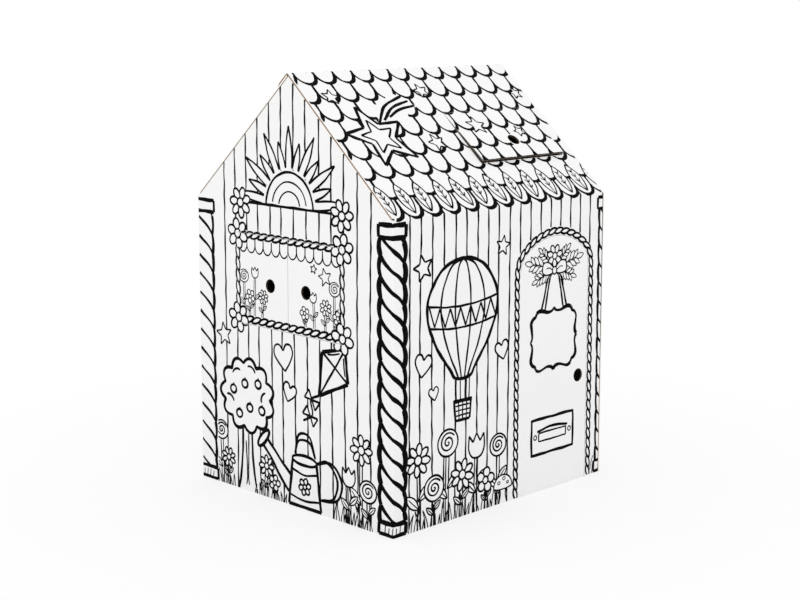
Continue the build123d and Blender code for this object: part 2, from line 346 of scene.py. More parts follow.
def creaseDistance(points):
    # least distance to a crease, beside it only
    nearest = np.full(points.shape[:-1], farAway)
    for place, first, last, upright in creases:
        off, along = (points[..., 0], points[..., 1]) if upright else (points[..., 1], points[..., 0])
        beside = (along > first) & (along < last)
        nearest = np.minimum(nearest, np.where(beside, np.abs(off - place), farAway))
    return nearest


def leafSides():
    # each side of a rectangular leaf: fixed place, from, to, whether upright, and the homes beside it
    sides = []
    for number, key in enumerate(regions, 1):
        if key in leafEdges:
            (left, low), (right, high) = regions[key].min(0), regions[key].max(0)
            for at in (left, right):
                split = at == leaves["windowSplit"]
                if not split or key == "shutterLeft":
                    sides.append((at, low, high, True, number, number + 1 if split else 0))
            sides += [(low, left, right, False, number, 0), (high, left, right, False, number, 0)]
    return sides


def acrossSide(points, widths, home, uncovered):
    # where half the pen's width, measured square to a leaf's side, reaches over it: the home beyond
    direction = np.gradient(points, axis=0)
    direction /= np.maximum(np.hypot(*direction.T), 1e-9)[:, None]
    other = np.full(len(points), -1)
    for place, first, last, upright, homeA, homeB in leafSides():
        off, along = (0, 1) if upright else (1, 0)
        reach = widths / 2 * np.abs(direction[:, along]) - np.abs(points[:, off] - place)
        beside = (points[:, along] > first) & (points[:, along] < last)
        over = beside & (reach > printEdge["overSide"]) & uncovered
        other[over] = np.where(home[over] == homeA, homeB, homeA)
    return other


def flapInset(v):
    # how far the ridge flap's tapered ends have come in: nothing up to half its reach, then even
    past = np.clip(v - ridgeV - house["ridgeFlap"] / 2, 0, None)
    return past * 2 * house["flapTaper"] / house["ridgeFlap"]


def onBoard(points, widths, isFront):
    # the points that lie on the unfolded sheet, clear of its edges, its nicks and the tongues' slots
    u, v = points.T
    eave, edge, nick, inset = house["eave"], printEdge["sheet"], printEdge["nick"], flapInset(v)
    aboveEave = v > eave + printEdge["fold"]
    onRoof = (u > edge + inset) & (u < wallSpan[1] - edge - inset)
    kept = (u > gableSpan[0] + edge) & (v > edge)
    kept &= np.where((u > 0) & aboveEave, onRoof, u < house["lapAt"] - 0.5)
    atNick = (np.abs(u) < nick + widths / 2) | (u > house["lapAt"] - nick)
    kept &= ~((v > eave - nick) & (v < eave + printEdge["fold"]) & atNick)
    kept &= (u > 0) | ((gableTop(u) - v) * math.cos(house["pitch"]) > edge)
    if isFront:
        return kept & (v - ridgeV < house["ridgeFlap"] - printEdge["flapEnd"])
    pitch, fromMiddle = house["tonguePitch"], u - house["halfLength"]
    tongue = np.abs((fromMiddle + 1.5 * pitch) % pitch - pitch / 2)
    onTongue = tongue < house["tongueWidth"] / 2 + printEdge["tongueSide"]
    onTongue &= np.abs(fromMiddle) < 1.5 * pitch
    return kept & (v < ridgeV - house["ridgeFlap"] - np.where(onTongue, printEdge["tongueEnd"], 0.0))


def inView(page, points, level):
    # a point is in view unless a cover drawn after its stroke encloses it
    seen = np.ones(len(points), bool)
    for coverLevel, outline, (low, high) in page.covers:
        near = nearBox(points, outline, 0.0)
        near = near[(level[near] < coverLevel) & (points[near, 0] > low) & (points[near, 0] < high)]
        if len(near):
            seen[near[insideOutline(points[near], outline)]] = False
    return seen


def stretches(mark, least=3):
    # the runs of equal marks above 0: mark, first place and the place after the last
    change = np.flatnonzero(np.diff(mark)) + 1
    bounds = np.concatenate([[0], change, [len(mark)]])
    return [(mark[a], a, b) for a, b in zip(bounds[:-1], bounds[1:]) if mark[a] and b - a >= least]


def splitRuns(page, isFront):
    # visible parts of every stroke, each wholly on one leaf or on the sheet round them
    levels, lines, pens, straights, limits = zip(*page.strokes)
    sizes = [len(line) for line in lines]
    points, widths = np.concatenate(lines), np.concatenate(pens)
    seen = inView(page, points, np.repeat(levels, sizes))
    low, high = np.repeat(limits, sizes, axis=0).T
    seen &= (points[:, 0] > low) & (points[:, 0] < high) & onBoard(points, widths, isFront)
    home = np.zeros(len(points), int)
    room = np.full(len(points), farAway)
    across = np.full(len(points), -1)
    if isFront:
        for number, outline in enumerate(regions.values(), 1):
            near = nearBox(points, outline, printEdge["search"])
            home[near[insideOutline(points[near], outline)]] = number
            room[near] = np.minimum(room[near], outlineDistance(points[near], outline))
        across = acrossSide(points, widths, home, seen)
        atCrease = creaseDistance(points) < room + 0.01
        clear = np.where(atCrease, printEdge["crease"], printEdge["cut"])
        seen &= room > clear
        for hole in leaves["holes"]:
            away = np.hypot(*(points - hole).T) - leaves["holeRadius"]
            isRing = widths < leaves["holeRing"] * 1.2
            seen &= (away > printEdge["hole"] + widths / 2) | isRing & (away > printEdge["ring"])
    start = 0
    runs = []
    for size, straight in zip(sizes, straights):
        here = slice(start, start + size)
        # print that lies along a leaf's side is also put on the board beyond it
        for mark, a, b in stretches(across[here] + 1):
            runs.append((mark - 1, points[start + a:start + b], widths[start + a:start + b], False))
        for mark, a, b in stretches(np.where(seen[here], home[here] + 1, 0)):
            first, last = start + a, start + b - 1
            line, wide = points[first:last + 1], widths[first:last + 1]
            # the run is carried on to the cut itself
            for at, beyond in ((first, first - 1), (last, last + 1)):
                if start <= beyond < start + size and room[beyond] < 2 * printEdge["cut"]:
                    apart = room[at] - room[beyond] * (1 if home[at] == home[beyond] else -1)
                    share = np.clip((room[at] - clear[at]) / max(apart, 1e-6), 0, 1) if apart > 0 else 0
                    extra = points[at] + share * (points[beyond] - points[at])
                    line = np.vstack([extra, line] if beyond < at else [line, extra])
                    wide = np.concatenate([wide[:1], wide] if beyond < at else [wide, wide[-1:]])
            runs.append((mark - 1, line, wide, straight))
        start += size
    return runs


def foldDistance(line):
    # how far each point of a stroke is from the nearest fold of the sheet
    upright = np.minimum(np.abs(line[:, 0]), np.abs(line[:, 0] - house["lapAt"]))
    level = np.minimum(np.abs(line[:, 1] - house["eave"]), np.abs(line[:, 1] - ridgeV))
    slope = np.abs(gableTop(line[:, 0]) - line[:, 1]) * math.cos(house["pitch"])
    return np.minimum(np.minimum(upright, level), np.where(line[:, 0] < 0, slope, farAway))


def trimmed(points, line, home, isFront):
    # print that would run out past an edge of the sheet or of its own leaf stops at the edge
    inward = printEdge["sheet"] + flapInset(line[:, 1])
    onRoof = (line[:, 0] > 0) & (line[:, 1] > house["eave"] + printEdge["fold"])
    left = np.where(onRoof, inward, printEdge["sheet"] + gableSpan[0])[:, None]
    right = np.where(onRoof, wallSpan[1] - inward, house["lapAt"] + 1.0)[:, None]
    u, v = np.clip(points[..., 0], left, right), np.maximum(points[..., 1], printEdge["sheet"])
    lineU, lineV = line[:, :1], line[:, 1:]
    gap = printEdge["crease"]
    for number, (key, outline) in enumerate(regions.items(), 1):
        if key in leafEdges and isFront:
            (leftEdge, lowEdge), (rightEdge, highEdge) = outline.min(0), outline.max(0)
            if home == number:
                margin = leafEdges[key]
                u = np.clip(u, leftEdge + margin[0], rightEdge - margin[1])
                v = np.clip(v, lowEdge + margin[2], highEdge - margin[3])
            elif home == 0:
                # pushed out through the side that the line is beyond, or is nearest to when it is a copy
                gaps = np.stack([lineU - leftEdge, rightEdge - lineU, lineV - lowEdge, highEdge - lineV])
                gaps[:2][np.array([leftEdge, rightEdge]) == leaves["windowSplit"]] = farAway
                nearest = np.argmin(gaps, axis=0)
                over = (u > leftEdge - gap) & (u < rightEdge + gap)
                over &= (v > lowEdge - gap) & (v < highEdge + gap)
                u = np.where(over & (nearest == 0), leftEdge - gap, u)
                u = np.where(over & (nearest == 1), rightEdge + gap, u)
                v = np.where(over & (nearest == 2), lowEdge - gap, v)
                v = np.where(over & (nearest == 3), highEdge + gap, v)
    return np.stack([u, v], 2)


def ribbonArrays(runs, columns, isFront, random, ajar):
    # each run is a flat ribbon: points spread evenly across it, from its middle line plus half its width
    # along the normal to minus half, raised above the board, between two sunk edges
    spread = np.linspace(0.5, -0.5, columns)
    across, lifts, ringRun = [], [], []
    for index, (home, line, wide, straight) in enumerate(runs):
        step = grain["straightSegment"] if straight else grain["segment"]
        keep = np.zeros(len(line), bool)
        keep[::max(1, int(round(step / grain["sample"])))] = True
        keep[[0, 1, -2, -1]] = True
        keep |= (foldDistance(line) < grain["nearFold"]) | (creaseDistance(line) < grain["nearCrease"])
        along = np.gradient(line, axis=0)
        turn = np.diff(np.unwrap(np.arctan2(along[:, 1], along[:, 0])))
        turned = np.cumsum(np.concatenate([[0], np.abs(turn)]))
        keep[1:] |= np.diff(np.floor(turned / grain["turn"])) > 0
        along /= np.maximum(np.hypot(*along.T), 1e-9)[:, None]
        side = np.stack([-along[:, 1], along[:, 0]], 1) * wide[:, None]
        points = line[:, None] + side[:, None] * spread[None, :, None]
        across.append(trimmed(points, line, home, isFront)[keep])
        ringRun.append(np.full(keep.sum(), index))
        lifts.append(np.full(keep.sum(), random.uniform(inkLayer["low"], inkLayer["high"])))
    across, lifts, ringRun = np.concatenate(across), np.concatenate(lifts), np.concatenate(ringRun)
    lifts = np.repeat(lifts[:, None], columns, axis=1)
    if isFront:
        lifts = np.minimum(lifts, printEdge["creaseSlope"] * creaseDistance(across))
    sunk = np.full(len(lifts), inkLayer["sunk"])
    ring = [ontoSheet(across[:, 0], sunk, not isFront)]
    ring += [ontoSheet(across[:, number], lifts[:, number], not isFront) for number in range(columns)]
    ring.append(ontoSheet(across[:, -1], sunk, not isFront))
    if ajar:
        ring = [turnHatch(part, leaves["hatchAjar"], millimetre) for part in ring]
    around = columns + 2
    joined = np.flatnonzero(ringRun[1:] == ringRun[:-1]) * around
    corner = np.arange(around)
    following = (corner + 1) % around
    quads = np.stack([joined[:, None] + corner, joined[:, None] + following,
                      joined[:, None] + around + following, joined[:, None] + around + corner], 2)
    change = ringRun[1:] != ringRun[:-1]
    first = np.flatnonzero(np.concatenate([[True], change])) * around
    last = np.flatnonzero(np.concatenate([change, [True]])) * around
    ends = np.concatenate([first[:, None] + corner[::-1], last[:, None] + corner])
    return np.stack(ring, 1).reshape(-1, 3), quads.reshape(-1, 4), ends


def meshPiece(name, vertices, faces, material, body):
    # faces come as arrays of corner numbers, one array for each number of corners
    mesh = bpy.data.meshes.new(name)
    mesh.vertices.add(len(vertices))
    mesh.vertices.foreach_set("co", vertices.astype(np.float32).ravel())
    corners = np.concatenate([part.ravel() for part in faces])
    sizes = np.concatenate([np.full(len(part), part.shape[1]) for part in faces])
    mesh.loops.add(len(corners))
    mesh.loops.foreach_set("vertex_index", corners.astype(np.int32))
    mesh.polygons.add(len(sizes))
    mesh.polygons.foreach_set("loop_start", (np.cumsum(sizes) - sizes).astype(np.int32))
    mesh.update(calc_edges=True)
    mesh.validate()
    mesh.materials.append(material)
    piece = bpy.data.objects.new(name, mesh)
    bpy.context.scene.collection.objects.link(piece)
    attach(piece, body)
    return piece


def newMaterial(name, roughness):
    material = bpy.data.materials.new(name)
    material.use_nodes = True
    tree = material.node_tree
    shader = tree.nodes["Principled BSDF"]
    shader.inputs["Roughness"].default_value = roughness
    return material, tree, shader


def addNode(tree, kind, inputs=None, **settings):
    node = tree.nodes.new(kind)
    for key, value in settings.items():
        setattr(node, key, value)
    for key, value in (inputs or {}).items():
        if isinstance(value, bpy.types.NodeSocket):
            tree.links.new(value, node.inputs[key])
        else:
            node.inputs[key].default_value = value
    return node


def sums(tree, operation, a, b=None):
    inputs = {0: a} if b is None else {0: a, 1: b}
    return addNode(tree, "ShaderNodeMath", inputs, operation=operation).outputs[0]


def toneBetween(tree, factor, low, high):
    mix = addNode(tree, "ShaderNodeMix", data_type="RGBA")
    tree.links.new(factor, mix.inputs["Factor"])
    mix.inputs["A"].default_value = (*low, 1)
    mix.inputs["B"].default_value = (*high, 1)
    return mix.outputs["Result"]


def noise(tree, vector, scale, detail=3.0):
    node = addNode(tree, "ShaderNodeTexNoise", {"Vector": vector, "Scale": scale, "Detail": detail})
    return node.outputs["Fac"]


def weighted(tree, *terms):
    # the sum of sockets, each times its weight
    total = None
    for socket, weight in terms:
        part = socket if weight == 1 else sums(tree, "MULTIPLY", socket, weight)
        total = part if total is None else sums(tree, "ADD", total, part)
    return total


def fluteWave(tree):
    # the piece's own place, a sine that runs once in every flute, and the depth in the board from 0 to 1
    here = addNode(tree, "ShaderNodeTexCoord").outputs["Object"]
    flutes = addNode(tree, "ShaderNodeUVMap", uv_map="flutes").outputs["UV"]
    parts = addNode(tree, "ShaderNodeSeparateXYZ", {0: flutes}).outputs
    return here, sums(tree, "SINE", sums(tree, "MULTIPLY", parts["X"], 2 * math.pi)), parts["Y"]


def finishShader(tree, shader, tone, height, strength, distance):
    tree.links.new(tone, shader.inputs["Base Color"])
    bump = addNode(tree, "ShaderNodeBump", {"Height": height, "Strength": strength, "Distance": distance})
    tree.links.new(bump.outputs["Normal"], shader.inputs["Normal"])


board = {
    "flutePitch": 7.0,                       # millimetres from one wave of the middle layer to the next
    "coatLow": (0.875, 0.875, 0.872),
    "coatHigh": (0.905, 0.905, 0.902),
    "coatRoughness": 0.52,
    "kraftLow": (0.36, 0.225, 0.12),
    "kraftHigh": (0.48, 0.32, 0.185),
    "kraftRoughness": 0.88,
    "edgeLow": (0.40, 0.26, 0.15),
    "edgeHigh": (0.56, 0.39, 0.24),
    "edgeHollowShade": (0.15, 0.09, 0.05),        # between the waves: painted shade in the open flute hollows
    "edgeRoughness": 0.92,
    "washboard": 0.05,
    "inkLow": (0.0015, 0.0015, 0.002),
    "inkHigh": (0.004, 0.004, 0.005),
    "inkRoughness": 0.46, "inkSpecular": 0.02, "glossLow": 0.48, "glossHigh": 0.62,
    "shadedCutEdge": 0.22,                       # how dark the hatch's edges and the holes' walls are painted: painted shade for the gap under the open hatch and the holes' walls in shadow
}


def coatedMaterial():
    # white coated paper: slow cloudy tone, faint stripes where it lies on the flutes, fine tooth
    material, tree, shader = newMaterial("coatedPaper", board["coatRoughness"])
    here, wave, _ = fluteWave(tree)
    cloud, tooth = noise(tree, here, 5.0, 4.0), noise(tree, here, 650.0, 2.0)
    tone = weighted(tree, (cloud, 0.8), (wave, 0.05), (tooth, 0.2))
    height = weighted(tree, (wave, board["washboard"]), (tooth, 0.03))
    tone = toneBetween(tree, tone, board["coatLow"], board["coatHigh"])
    finishShader(tree, shader, tone, height, 0.35, 0.001)
    return material


def kraftMaterial():
    # uncoated brown liner: long fibres drawn out along the flutes, darker stripes between them
    material, tree, shader = newMaterial("kraftLiner", board["kraftRoughness"])
    here, wave, _ = fluteWave(tree)
    drawn = addNode(tree, "ShaderNodeMapping", {"Vector": here, "Scale": (1.0, 1.0, 0.18)}).outputs[0]
    fibres, cloud = noise(tree, drawn, 420.0, 5.0), noise(tree, here, 9.0, 3.0)
    tone = weighted(tree, (fibres, 0.75), (cloud, 0.35), (wave, 0.09))
    height = weighted(tree, (wave, 0.12), (fibres, 0.08))
    tone = toneBetween(tree, tone, board["kraftLow"], board["kraftHigh"])
    finishShader(tree, shader, tone, height, 0.5, 0.001)
    return material


def rawEdgeMaterial(name, tone):
    # a cut through the board: two liners and, between them, a middle layer on a sine wave
    # whose height depends on the place along the panel, with painted shade darkening the hollows either
    # side
    material, tree, shader = newMaterial(name, board["edgeRoughness"])
    here, wave, depth = fluteWave(tree)
    middle = sums(tree, "ADD", sums(tree, "MULTIPLY", wave, 0.36), 0.5)
    fromMiddle = sums(tree, "ABSOLUTE", sums(tree, "SUBTRACT", depth, middle))
    fromFaces = sums(tree, "SUBTRACT", 0.5, sums(tree, "ABSOLUTE", sums(tree, "SUBTRACT", depth, 0.5)))
    layer = sums(tree, "MINIMUM", fromMiddle, fromFaces)
    paper = addNode(tree, "ShaderNodeMapRange", {"Value": layer, "From Min": 0.09, "From Max": 0.16,
                                                 "To Min": 1.0, "To Max": 0.0}).outputs[0]
    fuzz = noise(tree, here, 900.0, 3.0)
    # the hollows' colour is painted shade inside the open flute channels
    keys = ("edgeLow", "edgeHigh", "edgeHollowShade")
    low, high, hollowShade = (tuple(tone * part for part in board[key]) for key in keys)
    mix = addNode(tree, "ShaderNodeMix", data_type="RGBA")
    tree.links.new(paper, mix.inputs["Factor"])
    mix.inputs["A"].default_value = (*hollowShade, 1)
    tree.links.new(toneBetween(tree, fuzz, low, high), mix.inputs["B"])
    height = weighted(tree, (paper, 1), (fuzz, 0.3))
    finishShader(tree, shader, mix.outputs["Result"], height, 0.6, 0.0006)
    return material


def inkMaterial():
    # black printing ink: slightly uneven cover and gloss
    material, tree, shader = newMaterial("blackInk", board["inkRoughness"])
    here = addNode(tree, "ShaderNodeTexCoord").outputs["Object"]
    cover = noise(tree, here, 260.0, 3.0)
    gloss = addNode(tree, "ShaderNodeMapRange", {"Value": cover, "To Min": board["glossLow"],
                                                 "To Max": board["glossHigh"]}).outputs[0]
    tree.links.new(gloss, shader.inputs["Roughness"])
    shader.inputs["Specular IOR Level"].default_value = board["inkSpecular"]
    tone = toneBetween(tree, cover, board["inkLow"], board["inkHigh"])
    finishShader(tree, shader, tone, noise(tree, here, 800.0), 0.15, 0.0005)
    return material


coatedPaper, kraftLiner, blackInk = coatedMaterial(), kraftMaterial(), inkMaterial()
# the second edge material is the raw edge darkened as painted shade, for the hatch's cut edges and the
# finger holes' walls
rawEdge, shadedCutEdge = rawEdgeMaterial("rawEdge", 1.0), rawEdgeMaterial("shadedCutEdge", board["shadedCutEdge"])
print("stage: materials made")


def boardDepth(name, points):
    # how deep in its board each point lies, 0 on the printed face and 4 on the brown one,
    # with a second value that says whether the point is in a gable
    if name == "back_sheet":
        points = points * np.array([-1.0, -1.0, 1.0])
    if name == "roof_hatch":
        points = turnHatch(points, -leaves["hatchAjar"])
    x, y, z = points.T
    thick, halfWidth, slack = house["board"], house["halfWidth"], 0.06
    c, s = math.cos(house["pitch"]), math.sin(house["pitch"])
    frontSlope = (y + halfWidth) * s - (z - house["eave"]) * c
    backSlope = (halfWidth - y) * s - (z - house["eave"]) * c
    gable = x + house["halfLength"]
    wall = y + halfWidth

    def within(depth, alsoIn=True):
        # the depth where it is inside the board, with a little more for the folds' insides
        return np.where((depth > -slack) & (depth < thick + 0.35) & alsoIn, depth, farAway)

    onRoof = (frontSlope > -slack) & (frontSlope < thick + 0.1) & (z > house["eave"] - 3.2) & (y < 6)
    overRidge = backSlope + sheetStep
    onFlap = (within(overRidge) < farAway) & (y > 2.5) & (z > house["eave"])
    depth = within(wall, y < 0)
    lap = house["lapAt"] - house["halfLength"] - x
    for other in (gable, lap, frontSlope - sheetStep, backSlope - sheetStep):
        depth = np.minimum(depth, within(other))
    depth = np.where(onRoof, np.minimum(within(frontSlope), within(wall, z < house["eave"] + 5)), depth)
    depth = np.where(onFlap, np.minimum(overRidge, np.where(onRoof, frontSlope, farAway)), depth)
    return depth, (gable < thick + 1.0) & ~onRoof & ~onFlap


# the finger holes of the upright leaves: the axes of their plane and the centre in it
doorHole, leftHole, rightHole = leaves["holes"][:3]
holeAxes = {"door": (0, 2, (doorHole[0] - house["halfLength"], doorHole[1])),
            "left_shutter": (1, 2, (-leftHole[0] - house["halfWidth"], leftHole[1])),
            "right_shutter": (1, 2, (-rightHole[0] - house["halfWidth"], rightHole[1]))}


def faceKinds(name, vertices, triangles, normals, depth):
    # 0 for a printed face, 1 for a brown one, 2 for a cut edge and 3 for the wall of a finger hole
    faceDepth = depth[triangles]
    halfBoard = house["board"] / 2
    brown = ((faceDepth > halfBoard + 0.3) & (faceDepth < farAway)).all(1)
    kind = np.where((faceDepth < halfBoard - 0.3).all(1), 0, np.where(brown, 1, 2))
    kind = np.where((faceDepth == farAway).any(1), np.where(normals[:, 2] > 0.3, 0, 1), kind)
    cut = kind == 2
    if name == "back_sheet":
        # the roof panel's end over the window gable shows white paper, not brown
        kind[cut & (normals[:, 0] < -0.9) & (vertices[triangles, 2] > house["eave"] - 2).all(1)] = 0
    if name.endswith("_sheet"):
        # no brown shows at the glued corners either, where a gable's upright edge faces along the wall
        nearEnd, outer = np.abs(vertices[triangles, :2]).min(1).T
        upright = (np.abs(normals[:, 1]) > 0.9) & (nearEnd > house["halfLength"] - house["board"] - 0.5)
        kind[cut & upright & (outer > house["halfWidth"] - 0.5)] = 0
    if name in holeAxes:
        first, second, centre = holeAxes[name]
        away = np.hypot(vertices[:, first] - centre[0], vertices[:, second] - centre[1])[triangles].max(1)
        kind[cut & (away < leaves["holeRadius"] + 0.5)] = 3
    return kind


def readArray(items, field, kind, width):
    # one value or vector for each vertex, face or corner of a mesh
    values = np.empty(len(items) * width, kind)
    items.foreach_get(field, values)
    return values.reshape(-1, width)


def boardPiece(name, body):
    # a merged copy of the folded sheet, with its printed, brown and cut faces told apart
    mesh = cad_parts[name].data.copy()
    work = bmesh.new()
    work.from_mesh(mesh)
    bmesh.ops.remove_doubles(work, verts=work.verts, dist=1e-6)
    work.to_mesh(mesh)
    work.free()
    vertices = readArray(mesh.vertices, "co", float, 3) / millimetre
    normals = readArray(mesh.polygons, "normal", float, 3)
    triangles = readArray(mesh.loops, "vertex_index", np.int32, 1).reshape(-1, 3)
    depth, inGable = boardDepth(name, vertices)
    mesh.materials.clear()
    # the hatch's cut edges and every finger hole's wall take the painted-shade edge material
    for material in (coatedPaper, kraftLiner, shadedCutEdge if name == "roof_hatch" else rawEdge, shadedCutEdge):
        mesh.materials.append(material)
    kind = faceKinds(name, vertices, triangles, normals, depth)
    mesh.polygons.foreach_set("material_index", kind.astype(np.int32))
    # u counts flutes along the panel, v is the depth in the board
    corners = triangles.ravel()
    gableFace = np.repeat(inGable[triangles].all(1), 3)
    along = np.where(gableFace, vertices[corners, 1], vertices[corners, 0])
    flat = np.stack([along / board["flutePitch"], np.clip(depth[corners] / house["board"], 0, 1)], 1)
    layer = mesh.uv_layers.new(name="flutes")
    layer.data.foreach_set("uv", flat.astype(np.float32).ravel())
    for other in [uv for uv in mesh.uv_layers if uv.name != "flutes"]:
        mesh.uv_layers.remove(other)
    mesh.shade_smooth()
    mesh.set_sharp_from_angle(angle=math.radians(28))
    piece = bpy.data.objects.new(name + "_board", mesh)
    bpy.context.scene.collection.objects.link(piece)
    flatten = piece.modifiers.new("flatPanels", "WEIGHTED_NORMAL")
    flatten.keep_sharp = True
    flatten.weight = 100
    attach(piece, body)
    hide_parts(name)
    return piece


bodyOf = {"front_sheet": "house", "back_sheet": "house", "door": "door",
          "left_shutter": "left_shutter", "right_shutter": "right_shutter", "roof_hatch": "hatch"}
for nodeName, bodyName in bodyOf.items():
    boardPiece(nodeName, bodyName)
print("stage: boards dressed")


pens = {"fine": 3.4, "plain": 4.8, "bold": 6.2, "heavy": 9.0}
# upright lines: the first one's place, their step and their number
siding = {"gable": (-692.0, 50.7, 13), "wall": (60.0, 44.3, 18), "width": 6.0, "wander": 2.2}
# twisted posts: places along u, each with the weight of its pen
column = {"places": ((-790.0, 0.72), (-3.0, 1.0), (902.0, 0.6)),
          "halfWidth": 42.0, "rim": 9.0, "margin": 12.0, "strandPitch": 56.0, "strandFall": 74.0,
          "strand": 11.8, "edge": 16.8, "bulge": 7.5,
          "capLow": 806.0, "capHigh": 840.0, "baseLow": 5.0, "baseHigh": 38.0, "cap": 13.5}
shingle = {"rows": 8, "rise": 71.6, "firstTip": -3.0, "first": 18.0, "pitch": 72.0, "length": 118.0,
           "notch": 40.0, "thin": 8.3, "thick": 10.2}
eaveLeaf = {"above": 66, "length": 106, "pen": 5.2, "veins": (-18, 2, 20), "veinPen": 3.6}
wallTop = house["eave"] + 44         # the siding runs on under the shingles


def drawSiding(page, boards, top):
    # upright lines at even steps, each up to a height given by its place and drawn by an unsteady hand
    first, pitch, count = boards
    for at in first + pitch * np.arange(count):
        low, middle, high = at + page.random.normal(0, siding["wander"], 3)
        half = top(at) / 2
        line = curve([(low, 0), (middle, half), (high, half * 2)])
        page.ink(line, siding["width"], swell=0.22, shake=0.7, straight=True)


def drawColumn(page, middle, heavy):
    # a twisted post: each strand is an S that falls from left to right, between two bulging sides
    half, low, high = column["halfWidth"], column["baseHigh"], column["capLow"]
    fall, rise, rim = column["strandFall"], column["strandPitch"], half + column["rim"]
    outer = half + column["margin"]
    page.cover(rectangle(middle - outer, middle + outer, 0, column["capHigh"]))
    t = np.linspace(0, 1, 30)
    bow = t - 0.07 * np.sin(2 * math.pi * t)
    swelling = column["bulge"] * heavy ** 2 * np.sin(math.pi * t) ** 0.8
    for top in np.arange(high + fall * 0.85, low - 10, -rise):
        strand = np.stack([middle - half + 2 * half * bow, top - fall * t], 1)
        rightEdge = np.stack([middle + half + swelling, top - fall - rise * t], 1)
        leftEdge = np.stack([middle - half - swelling, top - rise * t], 1)
        sides = ((strand, column["strand"]), (rightEdge, column["edge"]), (leftEdge, column["edge"]))
        for line, width in sides:
            line = line[(line[:, 1] < high) & (line[:, 1] > low)]
            if len(line) > 2:
                page.ink(line, width * heavy, ends=(0.8, 0.8), swell=0.16)
    for bottom, top in ((column["capLow"], column["capHigh"]), (column["baseLow"], low)):
        pen = column["cap"] * (0.35 + 0.65 * heavy)
        page.cut(rectangle(middle - rim, middle + rim, bottom, top), pen, shake=0.5)
    for at in np.linspace(middle - half, middle + half, 7)[1:-1]:
        page.ink([(at, 11), (at + 2, low - 6 * page.random.uniform(1, 2))], pens["fine"], ends=(0.9, 0.3))


def drawShingle(page, middle, tip, top, up=1, heavy=1.0):
    # a scallop: straight sides down to a half ellipse, with the pen heavier on its right
    half, notch = shingle["pitch"] / 2, shingle["notch"]
    angle = np.radians(np.linspace(180, 360, 34))
    x = middle + half * np.cos(angle)
    y = notch * (1 + np.sin(angle) * (1 + 0.10 * np.cos(angle)))
    lean = page.random.uniform(-1.5, 1.5)
    tongue = np.stack([x + lean * (1 - y / notch), tip + up * y], 1)
    page.cover(np.concatenate([[(middle - half, top)], tongue, [(middle + half, top)]]))
    line = np.concatenate([[(middle - half, top)], tongue, tongue[-1:] + [[0, up * 12]]])
    page.ink(resample(line), shingle["thin"], ends=(0.8, 0.6), swell=0.2, shake=0.4)
    arc = np.radians(238 + 118 * np.linspace(0, 1, 40))
    heavier = np.stack([middle + (half - 1.4) * np.cos(arc) + lean * 0.6,
                        tip + up * (notch * (1 + np.sin(arc)) + 1.6)], 1)
    page.ink(heavier, shingle["thick"] * heavy, ends=(0.12, 0.12), swell=0.1, shake=0.2)


def shingleRow(row):
    # the scallops' middles: every second row is half a step along
    return shingle["first"] + shingle["pitch"] * (np.arange(-1, 13) + row % 2 / 2)


def drawShingles(page):
    # lower rows first, so that each row lies over the one below it
    page.limits = wallSpan
    for row in range(shingle["rows"]):
        tip = house["eave"] + shingle["firstTip"] + shingle["rise"] * row
        for middle in shingleRow(row):
            drawShingle(page, middle, tip, min(tip + shingle["length"], ridgeV))


def drawEaveLeaves(page):
    # a leaf with side veins on each shingle of the lowest row
    for place in shingleRow(0):
        middle = (place + page.random.uniform(-4, 4), house["eave"] + eaveLeaf["above"])
        tilt = 90 + page.random.uniform(-9, 9)
        drawLeaf(page, middle, eaveLeaf["length"], tilt, eaveLeaf["pen"])
        for at in eaveLeaf["veins"]:
            for side in (-1, 1):
                vein = placed([(at, 0), (at + 13, side * 10)], middle, 1.0, tilt)
                page.ink(vein, eaveLeaf["veinPen"], ends=(0.9, 0.3))


def drawFlapShingles(page):
    # over the ridge the two highest rows hang the other way, down the back
    for row in range(shingle["rows"] - 2, shingle["rows"]):
        past = roofRun - (shingle["firstTip"] + shingle["rise"] * row)
        top = ridgeV + max(past - shingle["length"], 0)
        for middle in wallSpan[1] - shingleRow(row):
            drawShingle(page, middle, ridgeV + past, top, up=-1, heavy=0.9)


def along(path, distance, offset):
    # a point beside a path: distance is measured along it, offset to its left
    path = resample(path)
    at = np.arange(len(path)) * grain["sample"]
    direction = np.gradient(path, axis=0)
    direction /= np.hypot(*direction.T)[:, None]
    x, y = np.interp(distance, at, path[:, 0]), np.interp(distance, at, path[:, 1])
    dx, dy = np.interp(distance, at, direction[:, 0]), np.interp(distance, at, direction[:, 1])
    return np.stack([x - dy * offset, y + dx * offset], 1)


def lens(reach, bow):
    # a closed outline: one bowed side and its mirror image
    side = np.stack([reach, bow], 1)
    return np.concatenate([side, (side[::-1] * [1, -1])[1:-1]])


def drawLinks(page, path, thick, pitch, width, lean=17.0):
    # two strands wound together, seen as a row of lenses, each turned a little and lying over the last
    path = resample(path)
    length = (len(path) - 1) * grain["sample"]
    count = int(round(length / pitch))
    t = np.linspace(0, 1, 18)
    band = np.linspace(0, length, count)
    page.cover(np.concatenate([along(path, band, thick * 0.45), along(path, band[::-1], -thick * 0.45)]))
    bow = (thick / 2 - width / 2) * 0.8 * np.sin(math.pi * t) ** 0.8
    link = lens(pitch * 1.36 * (t - 0.5), bow)
    for number in range(count):
        ends = along(path, np.array([number, number + 1.0]) * length / count, 0.0)
        turn = math.degrees(math.atan2(*(ends[1] - ends[0])[::-1]))
        page.shape(placed(link, ends.mean(0), 1.0, turn + lean), width, shake=0.1)


def drawLeaf(page, middle, length, tilt, width, vein=True):
    # two bowed sides that meet in points, and a midrib
    t = np.linspace(0, 1, 20)
    leaf = Stamp(page, middle, width, length, tilt)
    leaf.shape(lens(t - 0.5, 0.21 * np.sin(math.pi * t) ** 0.85), shake=0.2)
    if vein:
        leaf.line([(-0.46, 0), (0.3, 0.0)], 0.75, ends=(1, 0.2), shake=0.2)


